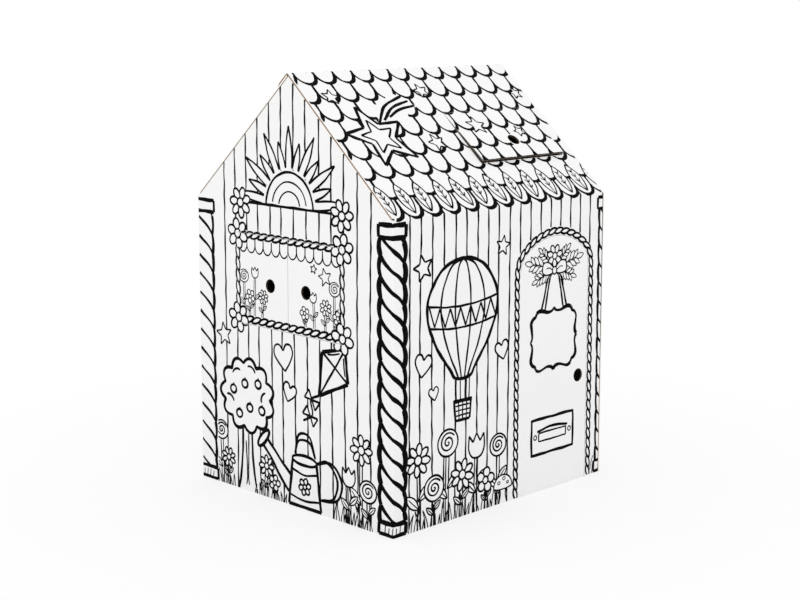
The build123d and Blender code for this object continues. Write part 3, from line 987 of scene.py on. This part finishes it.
def drawGrass(page, left, right, low, high, gap, width=3.6):
    # tufts of mixed height and lean: two strokes from a broad foot that meet at a pointed tip
    t = np.linspace(0, 1, 12)
    at = left
    while at < right:
        height = page.random.uniform(low, high)
        lean = page.random.uniform(-0.35, 0.35) * height
        spread = height * 0.07 + 2
        flanks = [at + side * spread * (1 - t) + lean * t ** 1.7 for side in (-1, 1)]
        page.cover(np.concatenate([np.stack([flanks[0], height * t], 1),
                                   np.stack([flanks[1], height * t], 1)[::-1]]))
        tip = at + lean
        for side in (-1, 1):
            x = at + side * spread * (1 - t) ** 0.8 + (tip - at) * t ** 1.7
            page.ink(np.stack([x, height * t], 1), width, ends=(0.8, 0.15), shake=0.3)
        at += gap * page.random.uniform(0.6, 1.5)


def drawStem(page, foot, top, bow, width):
    # two lines side by side, bowed half way
    middle = ((foot[0] + top[0]) / 2 + bow, (foot[1] + top[1]) / 2)
    line = curve([foot, middle, top])
    for side in (-1, 1):
        page.ink(line + [side * width * 0.95, 0], width * 0.8, ends=(1, 1), shake=0.2)


def drawDaisy(page, middle, radius, petals, width, tilt=0.0):
    # round petals set evenly about a disc; each petal covers the one before it
    for number in range(petals):
        turn = tilt + 360.0 * number / petals
        centre = polar(middle, 0.62 * radius, turn)
        page.shape(oval(centre, (0.40 * radius, 1.9 * radius / petals), tilt=turn), width, shake=0.2)
    page.shape(oval(middle, (0.30 * radius, 0.30 * radius)), width, shake=0.2)


def drawSpiral(page, middle, radius, width, turns=2.2):
    # a rose seen from above: a ring and a spiral inside it
    page.shape(oval(middle, (radius, radius * 0.94)), width, shake=0.3)
    t = np.linspace(0, 1, 60)
    angle = 2 * math.pi * turns * t + 0.6
    spiral = np.stack([np.cos(angle), 0.94 * np.sin(angle)], 1) * (radius * 0.78 * (1 - t))[:, None]
    page.ink(spiral + np.asarray(middle), width * 0.9, ends=(0.4, 0.8), shake=0.2)


def drawTulip(page, middle, size, width):
    # a rounded cup under a crown of three points
    cup = curve([(-0.5, 0.55), (-0.52, -0.1), (-0.25, -0.5), (0.25, -0.5), (0.52, -0.1), (0.5, 0.55)])
    crown = [(0.5, 0.55), (0.24, 0.22), (0, 0.62), (-0.24, 0.22), (-0.5, 0.55)]
    tulip = Stamp(page, middle, width, size)
    tulip.cover(np.concatenate([cup, resample(crown, 0.05)]))
    tulip.line(cup, shake=0.2)
    for a, b in zip(crown[:-1], crown[1:]):
        tulip.line([a, b], ends=(0.8, 0.8), shake=0.1)


def drawStar(page, middle, size, width, tilt=0.0, points=5, inner=0.45):
    # corners at even angles, near and far in turn
    angle = np.radians(90 + tilt + np.arange(points * 2) * 180 / points)
    radius = np.where(np.arange(points * 2) % 2 == 0, 1.0, inner) * size
    corners = np.stack([middle[0] + radius * np.cos(angle), middle[1] + radius * np.sin(angle)], 1)
    page.cut(corners, width, shake=0.3)


def drawHeart(page, middle, size, width, tilt=0.0):
    # one rounded half and its mirror image
    right = curve([(0, -0.55), (0.34, -0.2), (0.55, 0.15), (0.46, 0.46), (0.2, 0.5), (0, 0.26)])
    left = right[::-1] * [-1, 1]
    heart = Stamp(page, middle, width, size, tilt)
    heart.cover(np.concatenate([right, left]))
    for half in (right, left):
        heart.line(half, ends=(0.7, 0.7), shake=0.2)


def drawSun(page, middle, inner, outer, rays, width):
    # half a sun: pointed rays, long and short in turn, behind a half disc
    step, foot = 180.0 / rays, inner * 1.14
    spread = step * 0.46
    for number in range(rays):
        at = (number + 0.5) * step
        reach = outer if number % 2 == 0 else outer * 0.82
        tip, halfWay = polar(middle, reach, at), (foot + reach) / 2
        rising = curve([polar(middle, foot, at - spread),
                        polar(middle, halfWay, at - spread * 0.62), tip])
        falling = curve([tip, polar(middle, halfWay, at + spread * 0.62),
                         polar(middle, foot, at + spread)])
        page.cover(np.concatenate([rising, falling]))
        page.ink(rising, width, ends=(0.8, 0.4))
        page.ink(falling, width, ends=(0.4, 0.8))
    page.cover(oval(middle, (inner * 1.1, inner * 1.1), 0, 180))
    page.ink(oval(middle, (inner * 1.02, inner * 1.02), 0, 180), width * 1.2, ends=(0.9, 0.9))
    for share in (0.74, 0.46):
        page.ink(oval(middle, (inner * share, inner * share), 8, 172), width * 0.8, ends=(0.3, 0.3))
    reach = outer * 0.93
    horizon = [(middle[0] - reach, middle[1]), (middle[0] + reach, middle[1])]
    page.ink(horizon, width * 1.3, ends=(0.2, 0.2))


def drawBalloon(page, middle, radius, width):
    # a pear of revolution: gores are the same outline squeezed towards the middle
    half = [(0, 1.0), (0.55, 0.85), (0.93, 0.38), (0.97, -0.1),
            (0.72, -0.66), (0.36, -1.12), (0.2, -1.32)]
    basketTop, basketLow = -1.78, -2.16
    balloon = Stamp(page, middle, width, radius)
    for x in (-0.19, -0.07, 0.07, 0.19):
        balloon.line([(x, -1.3), (x * 0.95, basketTop)], 0.6)
    balloon.shape(curve(half + [(-x, y) for x, y in half[:0:-1]], closed=True), 1.25)
    for squeeze in (-0.62, -0.22, 0.22, 0.62):
        balloon.line(curve(half) * [squeeze, 1], 0.8, ends=(0.8, 0.8))
    t = np.linspace(-1, 1, 15)
    for low in (0.18, -0.24):
        balloon.bend(np.stack([0.965 * t, low - 0.10 * (1 - t ** 2)], 1), 0.8)
    x = np.linspace(-0.93, 0.93, 14)
    level = np.where(np.arange(14) % 2 == 0, 0.15, -0.21) - 0.10 * (1 - (x / 0.95) ** 2)
    zigzag = np.stack([x, level], 1)
    for a, b in zip(zigzag[:-1], zigzag[1:]):
        balloon.line([a, b], 0.75, ends=(0.9, 0.9), shake=0.1)
    balloon.cut([(-0.2, basketLow), (0.2, basketLow), (0.24, basketTop), (-0.24, basketTop)])
    for level in basketLow + np.arange(1, 4) * (basketTop - basketLow) / 4:
        balloon.line([(-0.2, level), (0.2, level)], 0.6)
    for x in (-0.1, 0.0, 0.1):
        balloon.line([(x, basketLow), (x * 1.2, basketTop)], 0.6)
    balloon.line([(-0.27, basketTop), (0.27, basketTop)], 1.5)


def drawTree(page, foot, height, radius, width):
    # a trunk that widens at its foot under a crown whose outline is a circle of round lobes
    crown = (foot[0], foot[1] + height - radius)
    t = np.linspace(0, 1, 16)
    rise = foot[1] + (height - radius * 1.5) * t
    left, right = (np.stack([foot[0] + side * (20 + 22 * (1 - t) ** 3), rise], 1) for side in (-1, 1))
    page.cover(np.concatenate([left, right[::-1]]))
    for trunk in (left, right):
        page.ink(trunk, width, ends=(0.5, 0.9))
    for shift, top in ((-7, 0.7), (6, 0.85)):
        bark = curve([(foot[0] + shift, foot[1] + 18), (foot[0] + shift * 0.4, foot[1] + 50),
                      (foot[0] + shift, foot[1] + (height - radius * 1.6) * top)])
        page.ink(bark, width * 0.6, ends=(0.2, 0.2))
    lobes = 11
    angle = np.linspace(0, 2 * math.pi, 200, endpoint=False)
    swell = 0.86 + 0.16 * np.abs(np.sin(angle * lobes / 2))
    outline = np.stack([crown[0] + radius * swell * np.cos(angle),
                        crown[1] + radius * 0.92 * swell * np.sin(angle)], 1)
    page.shape(resample(np.concatenate([outline, outline[:1]])), width * 1.15)
    for x, y, tilt in ((-0.38, 0.5, 20), (0.16, 0.62, -25), (0.66, 0.02, 60), (-0.66, -0.2, -30)):
        centre = (crown[0] + x * radius, crown[1] + y * radius)
        tuft = oval(centre, (radius * 0.16, radius * 0.11), 20, 165, tilt)
        page.ink(tuft, width * 0.8, ends=(0.2, 0.2))
    for x, y in ((-0.52, 0.08), (-0.08, 0.28), (0.42, 0.34), (0.1, -0.3), (0.55, -0.3), (-0.3, -0.5)):
        fruit = (crown[0] + x * radius, crown[1] + y * radius)
        page.shape(oval(fruit, (13, 12)), width * 0.85, shake=0.2)
        page.ink([(fruit[0], fruit[1] + 11), (fruit[0] + 3, fruit[1] + 19)], width * 0.7, ends=(0.8, 0.3))


def drawKite(page, middle, size, tilt, width):
    # a crossed kite over a wavy tail with two bows on it
    kite = Stamp(page, middle, width, size, tilt)
    kite.bend([(0, -0.62), (-0.12, -0.86), (0.08, -1.08), (-0.04, -1.36)], 0.8)
    for x, y in ((-0.10, -0.84), (0.05, -1.14)):
        for side in (-1, 1):
            kite.cut([(x, y), (x + side * 0.19, y + 0.11), (x + side * 0.19, y - 0.11)], 0.75)
    kite.cut([(0, 0.62), (0.44, 0.14), (0, -0.62), (-0.44, 0.14)], 1.2)
    kite.line([(0, 0.6), (0, -0.6)], 0.8)
    kite.line([(-0.42, 0.14), (0.42, 0.14)], 0.8)
    for side in (-1, 1):
        kite.bend([(side * 0.06, 0.46), (side * 0.18, 0.32), (side * 0.3, 0.2)], 0.6)


def drawCan(page, foot, size, width):
    # a watering can: a tapered body, a spout with a rose, a bowed handle behind and one over the top
    can = Stamp(page, foot, width, size)
    for reach in (0.0, 0.075):
        can.bend([(0.30, 0.16), (0.52 + reach, 0.22), (0.60 + reach, 0.46),
                  (0.42 + reach, 0.66), (0.20, 0.60)], 0.9)
        can.bend([(-0.18, 0.66), (-0.10, 0.84 + reach), (0.10, 0.84 + reach), (0.20, 0.66)], 0.8)
    can.cover([(-0.26, 0.12), (-0.24, 0.34), (-0.72, 0.76), (-0.80, 0.66)])
    can.bend([(-0.26, 0.12), (-0.44, 0.28), (-0.64, 0.52), (-0.80, 0.66)])
    can.bend([(-0.24, 0.36), (-0.40, 0.48), (-0.58, 0.64), (-0.72, 0.76)])
    can.shape(oval((-0.78, 0.74), (0.055, 0.15), tilt=-43))
    can.cut([(-0.30, 0.0), (0.30, 0.0), (0.22, 0.60), (-0.22, 0.60)], 1.1)
    can.shape(oval((0, 0.60), (0.225, 0.062)), 0.9)
    can.bend([(-0.28, 0.12), (0, 0.085), (0.28, 0.12)], 0.7)
    can.bend([(-0.24, 0.46), (0, 0.415), (0.24, 0.46)], 0.7)
    drawDaisy(page, placed([(0, 0.265)], foot, size)[0], size * 0.11, 6, width * 0.62, 15)


def drawToadstool(page, foot, height, width):
    # a bowed stalk under half an ellipse, closed by a flatter one
    half = height * 0.16
    page.cover(rectangle(foot[0] - half, foot[0] + half, 0, height * 0.7))
    for side in (-1, 1):
        stalk = curve([(foot[0] + side * half * 1.3, foot[1]),
                       (foot[0] + side * half * 0.8, foot[1] + height * 0.3),
                       (foot[0] + side * half, foot[1] + height * 0.62)])
        page.ink(stalk, width)
    middle = (foot[0], foot[1] + height * 0.58)
    page.shape(np.concatenate([oval(middle, (height * 0.46, height * 0.42), 0, 180),
                               oval(middle, (height * 0.46, height * 0.09), 180, 360)]), width)
    for x, y, r in ((-0.2, 0.74, 0.06), (0.05, 0.86, 0.07), (0.24, 0.7, 0.05)):
        spot = (foot[0] + x * height, foot[1] + y * height)
        page.ink(oval(spot, (r * height, r * height * 0.8)), width * 0.7)


def drawSign(page, middle, width, height, pen):
    # a blank board: round corners between long hollow sides that rise to a point half way
    size = np.array([width / 2, height / 2])
    flank = curve([(0, 1.0), (0.08, 0.90), (0.26, 0.87), (0.46, 0.93), (0.62, 0.96), (0.76, 0.90)])
    corner = curve([(0.76, 0.90), (0.79, 0.80), (0.90, 0.73), (0.97, 0.60), (0.95, 0.42), (0.92, 0.22),
                    (0.94, 0.09), (1.0, 0)])
    quarter = np.concatenate([flank, corner]) * size
    right = np.concatenate([quarter, quarter[::-1] * [1, -1]])
    page.cover(np.concatenate([right, right[::-1] * [-1, 1]]) + np.asarray(middle))
    for mirror in ([-1, -1], [-1, 1], [1, -1], [1, 1]):
        for part, ends in ((flank, (0.6, 0.9)), (corner, (0.9, 0.7))):
            page.ink(part * size * mirror + np.asarray(middle), pen, ends=ends, swell=0.25)


def drawSprig(page, root, length, tilt, pairs, width):
    # a stalk with leaves in pairs, the last at its tip
    tip = polar(root, length, tilt)
    page.ink([root, tip], width, ends=(0.8, 0.4))
    for number in range(pairs):
        at = polar(root, length * (0.30 + 0.62 * number / pairs), tilt)
        size = length * (0.36 - 0.03 * number)
        for turn in (tilt - 42, tilt + 42):
            drawLeaf(page, polar(at, size * 0.5, turn), size, turn, width * 0.9, vein=False)
    drawLeaf(page, tip, length * 0.32, tilt, width * 0.9, vein=False)


def drawBow(page, middle, size, width):
    # two loops, two tails and a knot
    bow = Stamp(page, middle, width, size)
    for side in (-1, 1):
        bow.bend([(0, 0), (side * 0.3, -0.3), (side * 0.36, -0.75)])
        bow.bend([(side * 0.08, -0.04), (side * 0.44, -0.3), (side * 0.54, -0.66)])
        loop = [(0, 0), (side * 0.35, 0.34), (side * 0.68, 0.3), (side * 0.7, -0.06), (side * 0.34, -0.14)]
        bow.shape(curve(loop, closed=True))
        bow.bend([(side * 0.12, 0.02), (side * 0.34, 0.12), (side * 0.52, 0.1)], 0.7, ends=(0.8, 0.2))
    page.shape(oval(middle, (size * 0.13, size * 0.15)), width)


def drawLetterPlate(page, middle, width, height, pen):
    # a blank plate with a slot under a small hood and a screw at each end
    w, h = width / 2, height / 2
    plate = Stamp(page, middle, pen)
    plate.shape(curve([(-w, -h * 0.8), (-w * 0.9, -h), (0, -h), (w * 0.9, -h), (w, -h * 0.8), (w, h * 0.8),
                       (w * 0.9, h), (0, h), (-w * 0.9, h), (-w, h * 0.8)], closed=True))
    plate.cut(rectangle(-w * 0.66, w * 0.66, -h * 0.28, h * 0.2), 0.6)
    plate.bend([(-w * 0.74, h * 0.3), (0, h * 0.46), (w * 0.74, h * 0.3)], 0.9)
    for side in (-1, 1):
        page.shape(oval((middle[0] + side * w * 0.83, middle[1]), (6.5, 6.5)), pen * 0.5, shake=0.1)


def drawValance(page, left, right, top, drop, count, width):
    # a row of hanging scallops: upright sides closed by half ellipses
    pitch = (right - left) / count
    angle = np.radians(np.linspace(180, 360, 20))
    for number in range(count):
        middle = left + (number + 0.5) * pitch
        hang = top - drop * (0.45 - 0.55 * np.sin(angle))
        scallop = np.stack([middle + pitch / 2 * np.cos(angle), hang], 1)
        line = np.concatenate([[(middle - pitch / 2, top)], scallop, [(middle + pitch / 2, top)]])
        page.cover(line)
        page.ink(line, width, ends=(0.8, 0.8), shake=0.2)


def drawFlower(page, foot, height, kind, size, width, lean=0.0):
    # a stem with two leaves under one of four heads
    top = (foot[0] + lean, foot[1] + height)
    drawStem(page, foot, top, -lean * 0.3, width)
    length = min(height * 0.34, size * 1.5)
    for turn, share in ((138, 0.3), (42, 0.42)):
        at = (foot[0] + lean * share, foot[1] + height * share)
        drawLeaf(page, polar(at, length * 0.5, turn), length, turn, width * 0.8)
    if kind == "daisy":
        drawDaisy(page, top, size, 8, width, page.random.uniform(0, 40))
    elif kind == "round":
        drawDaisy(page, top, size, 5, width, page.random.uniform(0, 60))
    elif kind == "spiral":
        drawSpiral(page, top, size, width)
    elif kind == "tulip":
        drawTulip(page, top, size * 1.6, width)


def drawBed(page, flowers, width, ground=0):
    # each flower's place, height, kind, size and lean, on a level ground
    for place, height, kind, size, lean in flowers:
        drawFlower(page, (place, ground), height, kind, size, width, lean)


def tallestFirst(flowers):
    return sorted(flowers, key=lambda row: -row[1])


gableBed = [(-716, 162, "spiral", 30, -4), (-690, 84, "daisy", 30, 2), (-520, 92, "daisy", 32, 4),
            (-478, 50, "round", 24, -4), (-168, 132, "tulip", 30, -4), (-124, 218, "daisy", 42, 2),
            (-94, 108, "spiral", 33, -2)]
shutterFlowers = [(-604, 118, "spiral", 20, -2), (-560, 132, "tulip", 17, 3), (-582, 62, "round", 20, 3),
                  (-526, 66, "daisy", 21, 4), (-342, 44, "round", 19, -4), (-306, 92, "tulip", 16, -5),
                  (-262, 70, "daisy", 23, 2), (-226, 126, "spiral", 21, 2), (-216, 48, "round", 19, 4)]
wallBed = [(98, 196, "daisy", 46, -4), (152, 106, "spiral", 38, 4), (206, 222, "spiral", 40, 4),
           (262, 120, "daisy", 45, 6), (322, 190, "tulip", 38, 4), (368, 84, "round", 36, -4),
           (416, 176, "spiral", 34, 0)]


def drawGable(page):
    # the window gable, from its back edge to the shared corner at 0
    page.limits = gableSpan
    drawSiding(page, siding["gable"], gableTop)
    middle = -house["halfWidth"]
    drawSun(page, (middle, 850), 96, 226, 13, pens["bold"])
    for side in (-1, 1):
        drawDaisy(page, (middle + side * 212, 846), 44, 7, pens["bold"], page.random.uniform(0, 50))
    drawTree(page, (-600, 0), 404, 118, pens["heavy"])
    drawKite(page, (-236, 412), 144, -36, pens["heavy"])
    drawHeart(page, (-436, 424), 72, pens["bold"], 8)
    drawHeart(page, (-414, 326), 50, pens["bold"], -16)
    drawStar(page, (-700, 452), 36, pens["plain"], 10)
    drawGrass(page, -745, -660, 24, 70, 15)
    drawGrass(page, -565, -430, 16, 44, 15)
    drawGrass(page, -225, -66, 24, 70, 14)
    drawCan(page, (-352, 6), 226, pens["heavy"] * 1.1)
    drawBed(page, tallestFirst(gableBed), pens["bold"] * 0.9)


windowFrame = {"left": -632.0, "right": -194.0, "low": 512.0, "high": 756.0,
               "thick": 26, "uprightPitch": 33, "levelPitch": 32, "levelPen": pens["heavy"] * 0.72,
               "rosette": 43, "valanceDrop": 42, "scallops": 12}


def drawWindow(page):
    # a rope frame with rosettes at its corners and a valance under its head
    page.limits = gableSpan
    left, right, low, high = (windowFrame[key] for key in ("left", "right", "low", "high"))
    page.cover(rectangle(left, right, low, high))
    drawBed(page, shutterFlowers, pens["fine"], low + 6)
    drawStar(page, (-262, 672), 27, pens["fine"], 14)
    drawStar(page, (-308, 690), 14, pens["fine"], -10)
    drawValance(page, left + 6, right - 6, high - 8, windowFrame["valanceDrop"], windowFrame["scallops"],
                pens["plain"] * 0.9)
    thick = windowFrame["thick"]
    for path in ([(left, high), (left, low)], [(right, low), (right, high)]):
        drawLinks(page, path, thick, windowFrame["uprightPitch"], pens["bold"], lean=12)
    for path in ([(left, high), (right, high)], [(left, low), (right, low)]):
        drawLinks(page, path, thick, windowFrame["levelPitch"], windowFrame["levelPen"], lean=21)
    for corner in ((left, high), (right, high), (left, low), (right, low)):
        drawDaisy(page, corner, windowFrame["rosette"], 6, pens["bold"], page.random.uniform(0, 50))


def drawDoorWall(page):
    # the wall from the shared corner at 0 to the far one, up to the shingles
    page.limits = wallSpan
    drawSiding(page, siding["wall"], lambda u: wallTop)
    drawBalloon(page, (268, 584), 142, pens["heavy"] * 0.9)
    drawStar(page, (112, 716), 38, pens["bold"], 14)
    drawStar(page, (430, 742), 30, pens["plain"], -10)
    drawHeart(page, (112, 452), 58, pens["bold"], -12)
    drawHeart(page, (430, 446), 50, pens["bold"], 12)
    drawHeart(page, (154, 368), 34, pens["plain"], 10)
    drawGrass(page, 62, 440, 26, 74, 15)
    drawGrass(page, 838, 866, 26, 70, 12)
    drawBed(page, tallestFirst(wallBed), pens["bold"])
    drawToadstool(page, (438, 0), 84, pens["plain"])


# the sprigs are given by direction and length
doorPrint = {"ropeOut": 14.5, "ropeThick": 26, "ropePitch": 29, "ropePen": pens["plain"] * 1.4,
             "middle": 655.0, "sprigs": ((168, 116), (12, 116), (200, 92), (-20, 92), (138, 84), (42, 84))}


def drawDoorRope(page):
    # the arch pushed outwards, with its legs carried down to the ground; its cover hides the siding
    page.limits = wallSpan
    arch = doorOutline()[:-2]
    half, rise = (leaves["doorRight"] - leaves["doorLeft"]) / 2, leaves["doorCrown"] - leaves["doorSpring"]
    centre = [(leaves["doorLeft"] + leaves["doorRight"]) / 2, leaves["doorSpring"]]
    out = doorPrint["ropeOut"]
    wide = (arch - centre) * [1 + out / half, 1 + out / rise] + centre
    path = np.concatenate([[(wide[0, 0], 0)], wide, [(wide[-1, 0], 0)]])
    page.cover(np.concatenate([wide, [(wide[-1, 0], 0), (wide[0, 0], 0)]]))
    drawLinks(page, path[::-1], doorPrint["ropeThick"], doorPrint["ropePitch"], doorPrint["ropePen"])


def drawDoorLeaf(page):
    # a bunch of leaves with a bow, a blank sign on two ribbons, and the letter plate
    page.limits = (leaves["doorLeft"], leaves["doorRight"])
    page.cover(doorOutline())
    middle = doorPrint["middle"]
    for side in (-1, 1):
        for shift in (0, 17):
            ribbon = [(middle + side * (20 + shift * 0.5), 628), (middle + side * (44 + shift), 520)]
            page.ink(ribbon, pens["bold"] * 1.2)
    for turn, length in doorPrint["sprigs"]:
        drawSprig(page, (middle, 652), length, turn, 4, pens["fine"])
    drawDaisy(page, (middle, 688), 33, 7, pens["plain"], 12)
    drawBow(page, (middle, 646), 74, pens["plain"])
    drawSign(page, (middle, 446), 208, 184, pens["heavy"] * 1.15)
    drawLetterPlate(page, (middle, 163), 186, 104, pens["heavy"])


def drawRoof(page):
    # shingles, then a star with a tail of three lines, and black strokes beside the hatch's lower cuts as
    # its painted gap shadow
    drawShingles(page)
    drawEaveLeaves(page)
    drawFlapShingles(page)
    eave = house["eave"]
    page.cover([(190, eave + 330), (240, eave + 420), (345, eave + 446),
                (382, eave + 392), (280, eave + 336)])
    for bow in (0, 28, 56):
        tail = curve([(196 + bow, eave + 336 + bow * 0.4), (262 + bow * 0.8, eave + 400 - bow * 0.3),
                      (352 + bow * 0.5, eave + 436 - bow * 0.7)])
        page.ink(tail, pens["heavy"], ends=(1, 0.1))
    # painted shadow: black strokes inside the hatch's lower and left cuts stand for the dark gap under the
    # ajar hatch
    low, left = eave + leaves["hatchLow"] + 2.8, leaves["hatchLeft"] + 2.6
    right = leaves["hatchRight"] - 2.5
    page.ink([(left, low), (right, low)], 3.2, ends=(0.9, 0.6), shake=0.1, straight=True)
    page.ink([(left, low), (left, low + 120)], 2.4, ends=(0.9, 0.1), shake=0.1, straight=True)
    drawStar(page, (166, eave + 288), 118, pens["heavy"] * 1.15, 8)
    drawStar(page, (166, eave + 288), 66, pens["bold"], 8)
    for u, s, size, tilt in ((360, 250, 34, 12), (92, 448, 30, -14), (448, 452, 30, 10), (560, 300, 38, -8),
                             (716, 262, 24, 14), (836, 420, 26, 6)):
        drawStar(page, (u, eave + s), size, pens["plain"], tilt)


def drawColumns(page):
    page.limits = pageSpan
    for middle, heavy in column["places"]:
        drawColumn(page, middle, heavy)


frontPage = Page(11)
drawGable(frontPage)
drawWindow(frontPage)
drawDoorWall(frontPage)
drawRoof(frontPage)
drawDoorRope(frontPage)
drawDoorLeaf(frontPage)
drawColumns(frontPage)
for hole in leaves["holes"]:
    ring = oval(hole, (leaves["holeRadius"] + 0.95,) * 2)
    frontPage.ink(ring, leaves["holeRing"], ends=(1, 1), swell=0, shake=0)

backPage = Page(12)
drawSiding(backPage, siding["gable"], gableTop)
drawSiding(backPage, siding["wall"], lambda u: wallTop)
drawShingles(backPage)
backPage.limits = pageSpan
drawGrass(backPage, -745, -70, 26, 80, 16)
drawGrass(backPage, 70, 812, 26, 80, 16)
drawColumns(backPage)
print("stage: pages drawn")


def putPrint(page, isFront, seed, names):
    # one ribbon mesh for each leaf, and three for the sheet: gable, wall and roof
    random = np.random.default_rng(seed)
    groups = {key: [] for key in names}
    for run in splitRuns(page, isFront):
        home, line = run[0], run[1]
        if home:
            key = list(regions)[home - 1]
        elif line[:, 0].mean() < 0:
            key = "gable"
        else:
            key = "wall" if line[:, 1].mean() < house["eave"] else "roof"
        groups[key].append(run)
    for key, (pieceName, bodyName) in names.items():
        # ribbons that cross a fold have more points across, so that they bend with the board
        near = [foldDistance(run[1]).min() < inkLayer["foldReach"] for run in groups[key]]
        vertices, faces, start = [], [], 0
        for columns, wanted in ((inkLayer["flatColumns"], False), (inkLayer["foldColumns"], True)):
            batch = [run for run, isNear in zip(groups[key], near) if isNear == wanted]
            if batch:
                points, quads, ends = ribbonArrays(batch, columns, isFront, random, key == "hatch")
                vertices.append(points)
                faces += [quads + start, ends + start]
                start += len(points)
        meshPiece(pieceName, np.concatenate(vertices), faces, blackInk, bodyName)
        print("stage:", pieceName, sum(len(part) * (part.shape[1] - 2) for part in faces), "triangles")


putPrint(frontPage, True, 5, {
    "gable": ("ink_window_gable", "house"),
    "wall": ("ink_door_wall", "house"),
    "roof": ("ink_front_roof", "house"),
    "door": ("ink_door", "door"),
    "shutterLeft": ("ink_left_shutter", "left_shutter"),
    "shutterRight": ("ink_right_shutter", "right_shutter"),
    "hatch": ("ink_roof_hatch", "hatch"),
})
putPrint(backPage, False, 6, {
    "gable": ("ink_plain_gable", "house"),
    "wall": ("ink_back_wall", "house"),
    "roof": ("ink_back_roof", "house"),
})


studio = {
    "worldLight": 0.98,
    "floorTone": 0.86, "floorReach": 9.0,
    "floorInside": (0.43, 0.40),                       # half the floor inside the walls, in metres
    "liftFrom": 0.5, "liftTo": 1.7, "liftLeast": 0.72,  # the floor turns to white between these distances
    "keyStrength": 38.0, "keySize": 3.2, "keyAt": (-2.6, -4.2, 4.6),
    "fillStrength": 16.0, "fillSize": 3.5, "fillAt": (-5.0, 1.6, 2.6),
}


def cameraRays(tree):
    # camera, mirror and glass rays all see the white ground
    path = addNode(tree, "ShaderNodeLightPath").outputs
    seen = sums(tree, "MAXIMUM", path["Is Camera Ray"], path["Is Glossy Ray"])
    return sums(tree, "MAXIMUM", seen, path["Is Transmission Ray"])


def makeWorld():
    # even white light, and a white ground where the camera looks past the floor
    world = bpy.data.worlds.new("studioWorld")
    world.use_nodes = True
    bpy.context.scene.world = world
    tree = world.node_tree
    light = tree.nodes["Background"]
    light.inputs["Color"].default_value = (1, 1, 1, 1)
    light.inputs["Strength"].default_value = studio["worldLight"]
    white = addNode(tree, "ShaderNodeBackground", {"Color": (1, 1, 1, 1), "Strength": 1.0})
    mix = addNode(tree, "ShaderNodeMixShader", {0: cameraRays(tree)})
    tree.links.new(light.outputs[0], mix.inputs[1])
    tree.links.new(white.outputs[0], mix.inputs[2])
    tree.links.new(mix.outputs[0], tree.nodes["World Output"].inputs["Surface"])


def makeFloor():
    # a pale floor that keeps the shadow and is lifted to white for the camera, but not inside the walls
    mesh = bpy.data.meshes.new("floor")
    reach = studio["floorReach"]
    corners = [(*corner, 0) for corner in rectangle(-reach, reach, -reach, reach)]
    mesh.from_pydata(corners, [], [(0, 1, 2, 3)])
    floor = bpy.data.objects.new("floor", mesh)
    bpy.context.scene.collection.objects.link(floor)
    material, tree, shader = newMaterial("studioFloor", 0.9)
    tone = studio["floorTone"]
    shader.inputs["Base Color"].default_value = (tone, tone, tone, 1)
    shader.inputs["Specular IOR Level"].default_value = 0.0
    glow = addNode(tree, "ShaderNodeEmission", {"Color": (1, 1, 1, 1), "Strength": 1.0})
    here = addNode(tree, "ShaderNodeTexCoord").outputs["Object"]
    out = addNode(tree, "ShaderNodeVectorMath", {0: here}, operation="LENGTH").outputs["Value"]
    near, far = studio["liftFrom"], studio["liftTo"]
    lifted = addNode(tree, "ShaderNodeMapRange", {"Value": out, "From Min": near, "From Max": far,
                                                  "To Min": studio["liftLeast"], "To Max": 1.0}).outputs[0]
    apart = addNode(tree, "ShaderNodeSeparateXYZ", {0: here}).outputs
    insideX, insideY = (sums(tree, "LESS_THAN", sums(tree, "ABSOLUTE", apart[axis]), half)
                        for axis, half in zip("XY", studio["floorInside"]))
    outside = sums(tree, "SUBTRACT", 1.0, sums(tree, "MULTIPLY", insideX, insideY))
    share = sums(tree, "MULTIPLY", cameraRays(tree), sums(tree, "MULTIPLY", lifted, outside))
    mix = addNode(tree, "ShaderNodeMixShader", {0: share})
    tree.links.new(shader.outputs[0], mix.inputs[1])
    tree.links.new(glow.outputs[0], mix.inputs[2])
    tree.links.new(mix.outputs[0], tree.nodes["Material Output"].inputs["Surface"])
    mesh.materials.append(material)


def softLamp(name, place, strength, size):
    # a round lamp that faces the middle of the house
    lamp = bpy.data.lights.new(name, "AREA")
    lamp.shape = "DISK"
    lamp.size = size
    lamp.energy = strength
    thing = bpy.data.objects.new(name, lamp)
    thing.location = place
    thing.rotation_euler = (Vector((0, 0, 0.6)) - Vector(place)).to_track_quat("-Z", "Y").to_euler()
    bpy.context.scene.collection.objects.link(thing)


makeWorld()
makeFloor()
softLamp("keyLamp", studio["keyAt"], studio["keyStrength"], studio["keySize"])
softLamp("fillLamp", studio["fillAt"], studio["fillStrength"], studio["fillSize"])

view = {
    "at": (-3.2858, -3.2819, 1.4100),
    "yaw": math.radians(45.046),
    "pitch": math.radians(8.529),
    "lens": 71.43,
    "shift": -0.075,
}


def makeCamera():
    # the camera looks along forward, with right level and up square to both
    camera = bpy.data.cameras.new("camera")
    camera.lens = view["lens"]
    camera.sensor_width = 36.0
    camera.shift_y = view["shift"]
    thing = bpy.data.objects.new("camera", camera)
    cy, sy = math.cos(view["yaw"]), math.sin(view["yaw"])
    cp, sp = math.cos(view["pitch"]), math.sin(view["pitch"])
    forward = Vector((cy * cp, sy * cp, -sp))
    right = Vector((sy, -cy, 0))
    up = right.cross(forward)
    thing.matrix_world = Matrix((
        (right.x, up.x, -forward.x, view["at"][0]),
        (right.y, up.y, -forward.y, view["at"][1]),
        (right.z, up.z, -forward.z, view["at"][2]),
        (0, 0, 0, 1),
    ))
    bpy.context.scene.collection.objects.link(thing)
    bpy.context.scene.camera = thing


makeCamera()
bpy.context.scene.view_settings.view_transform = "Standard"
print("stage: camera and light set")
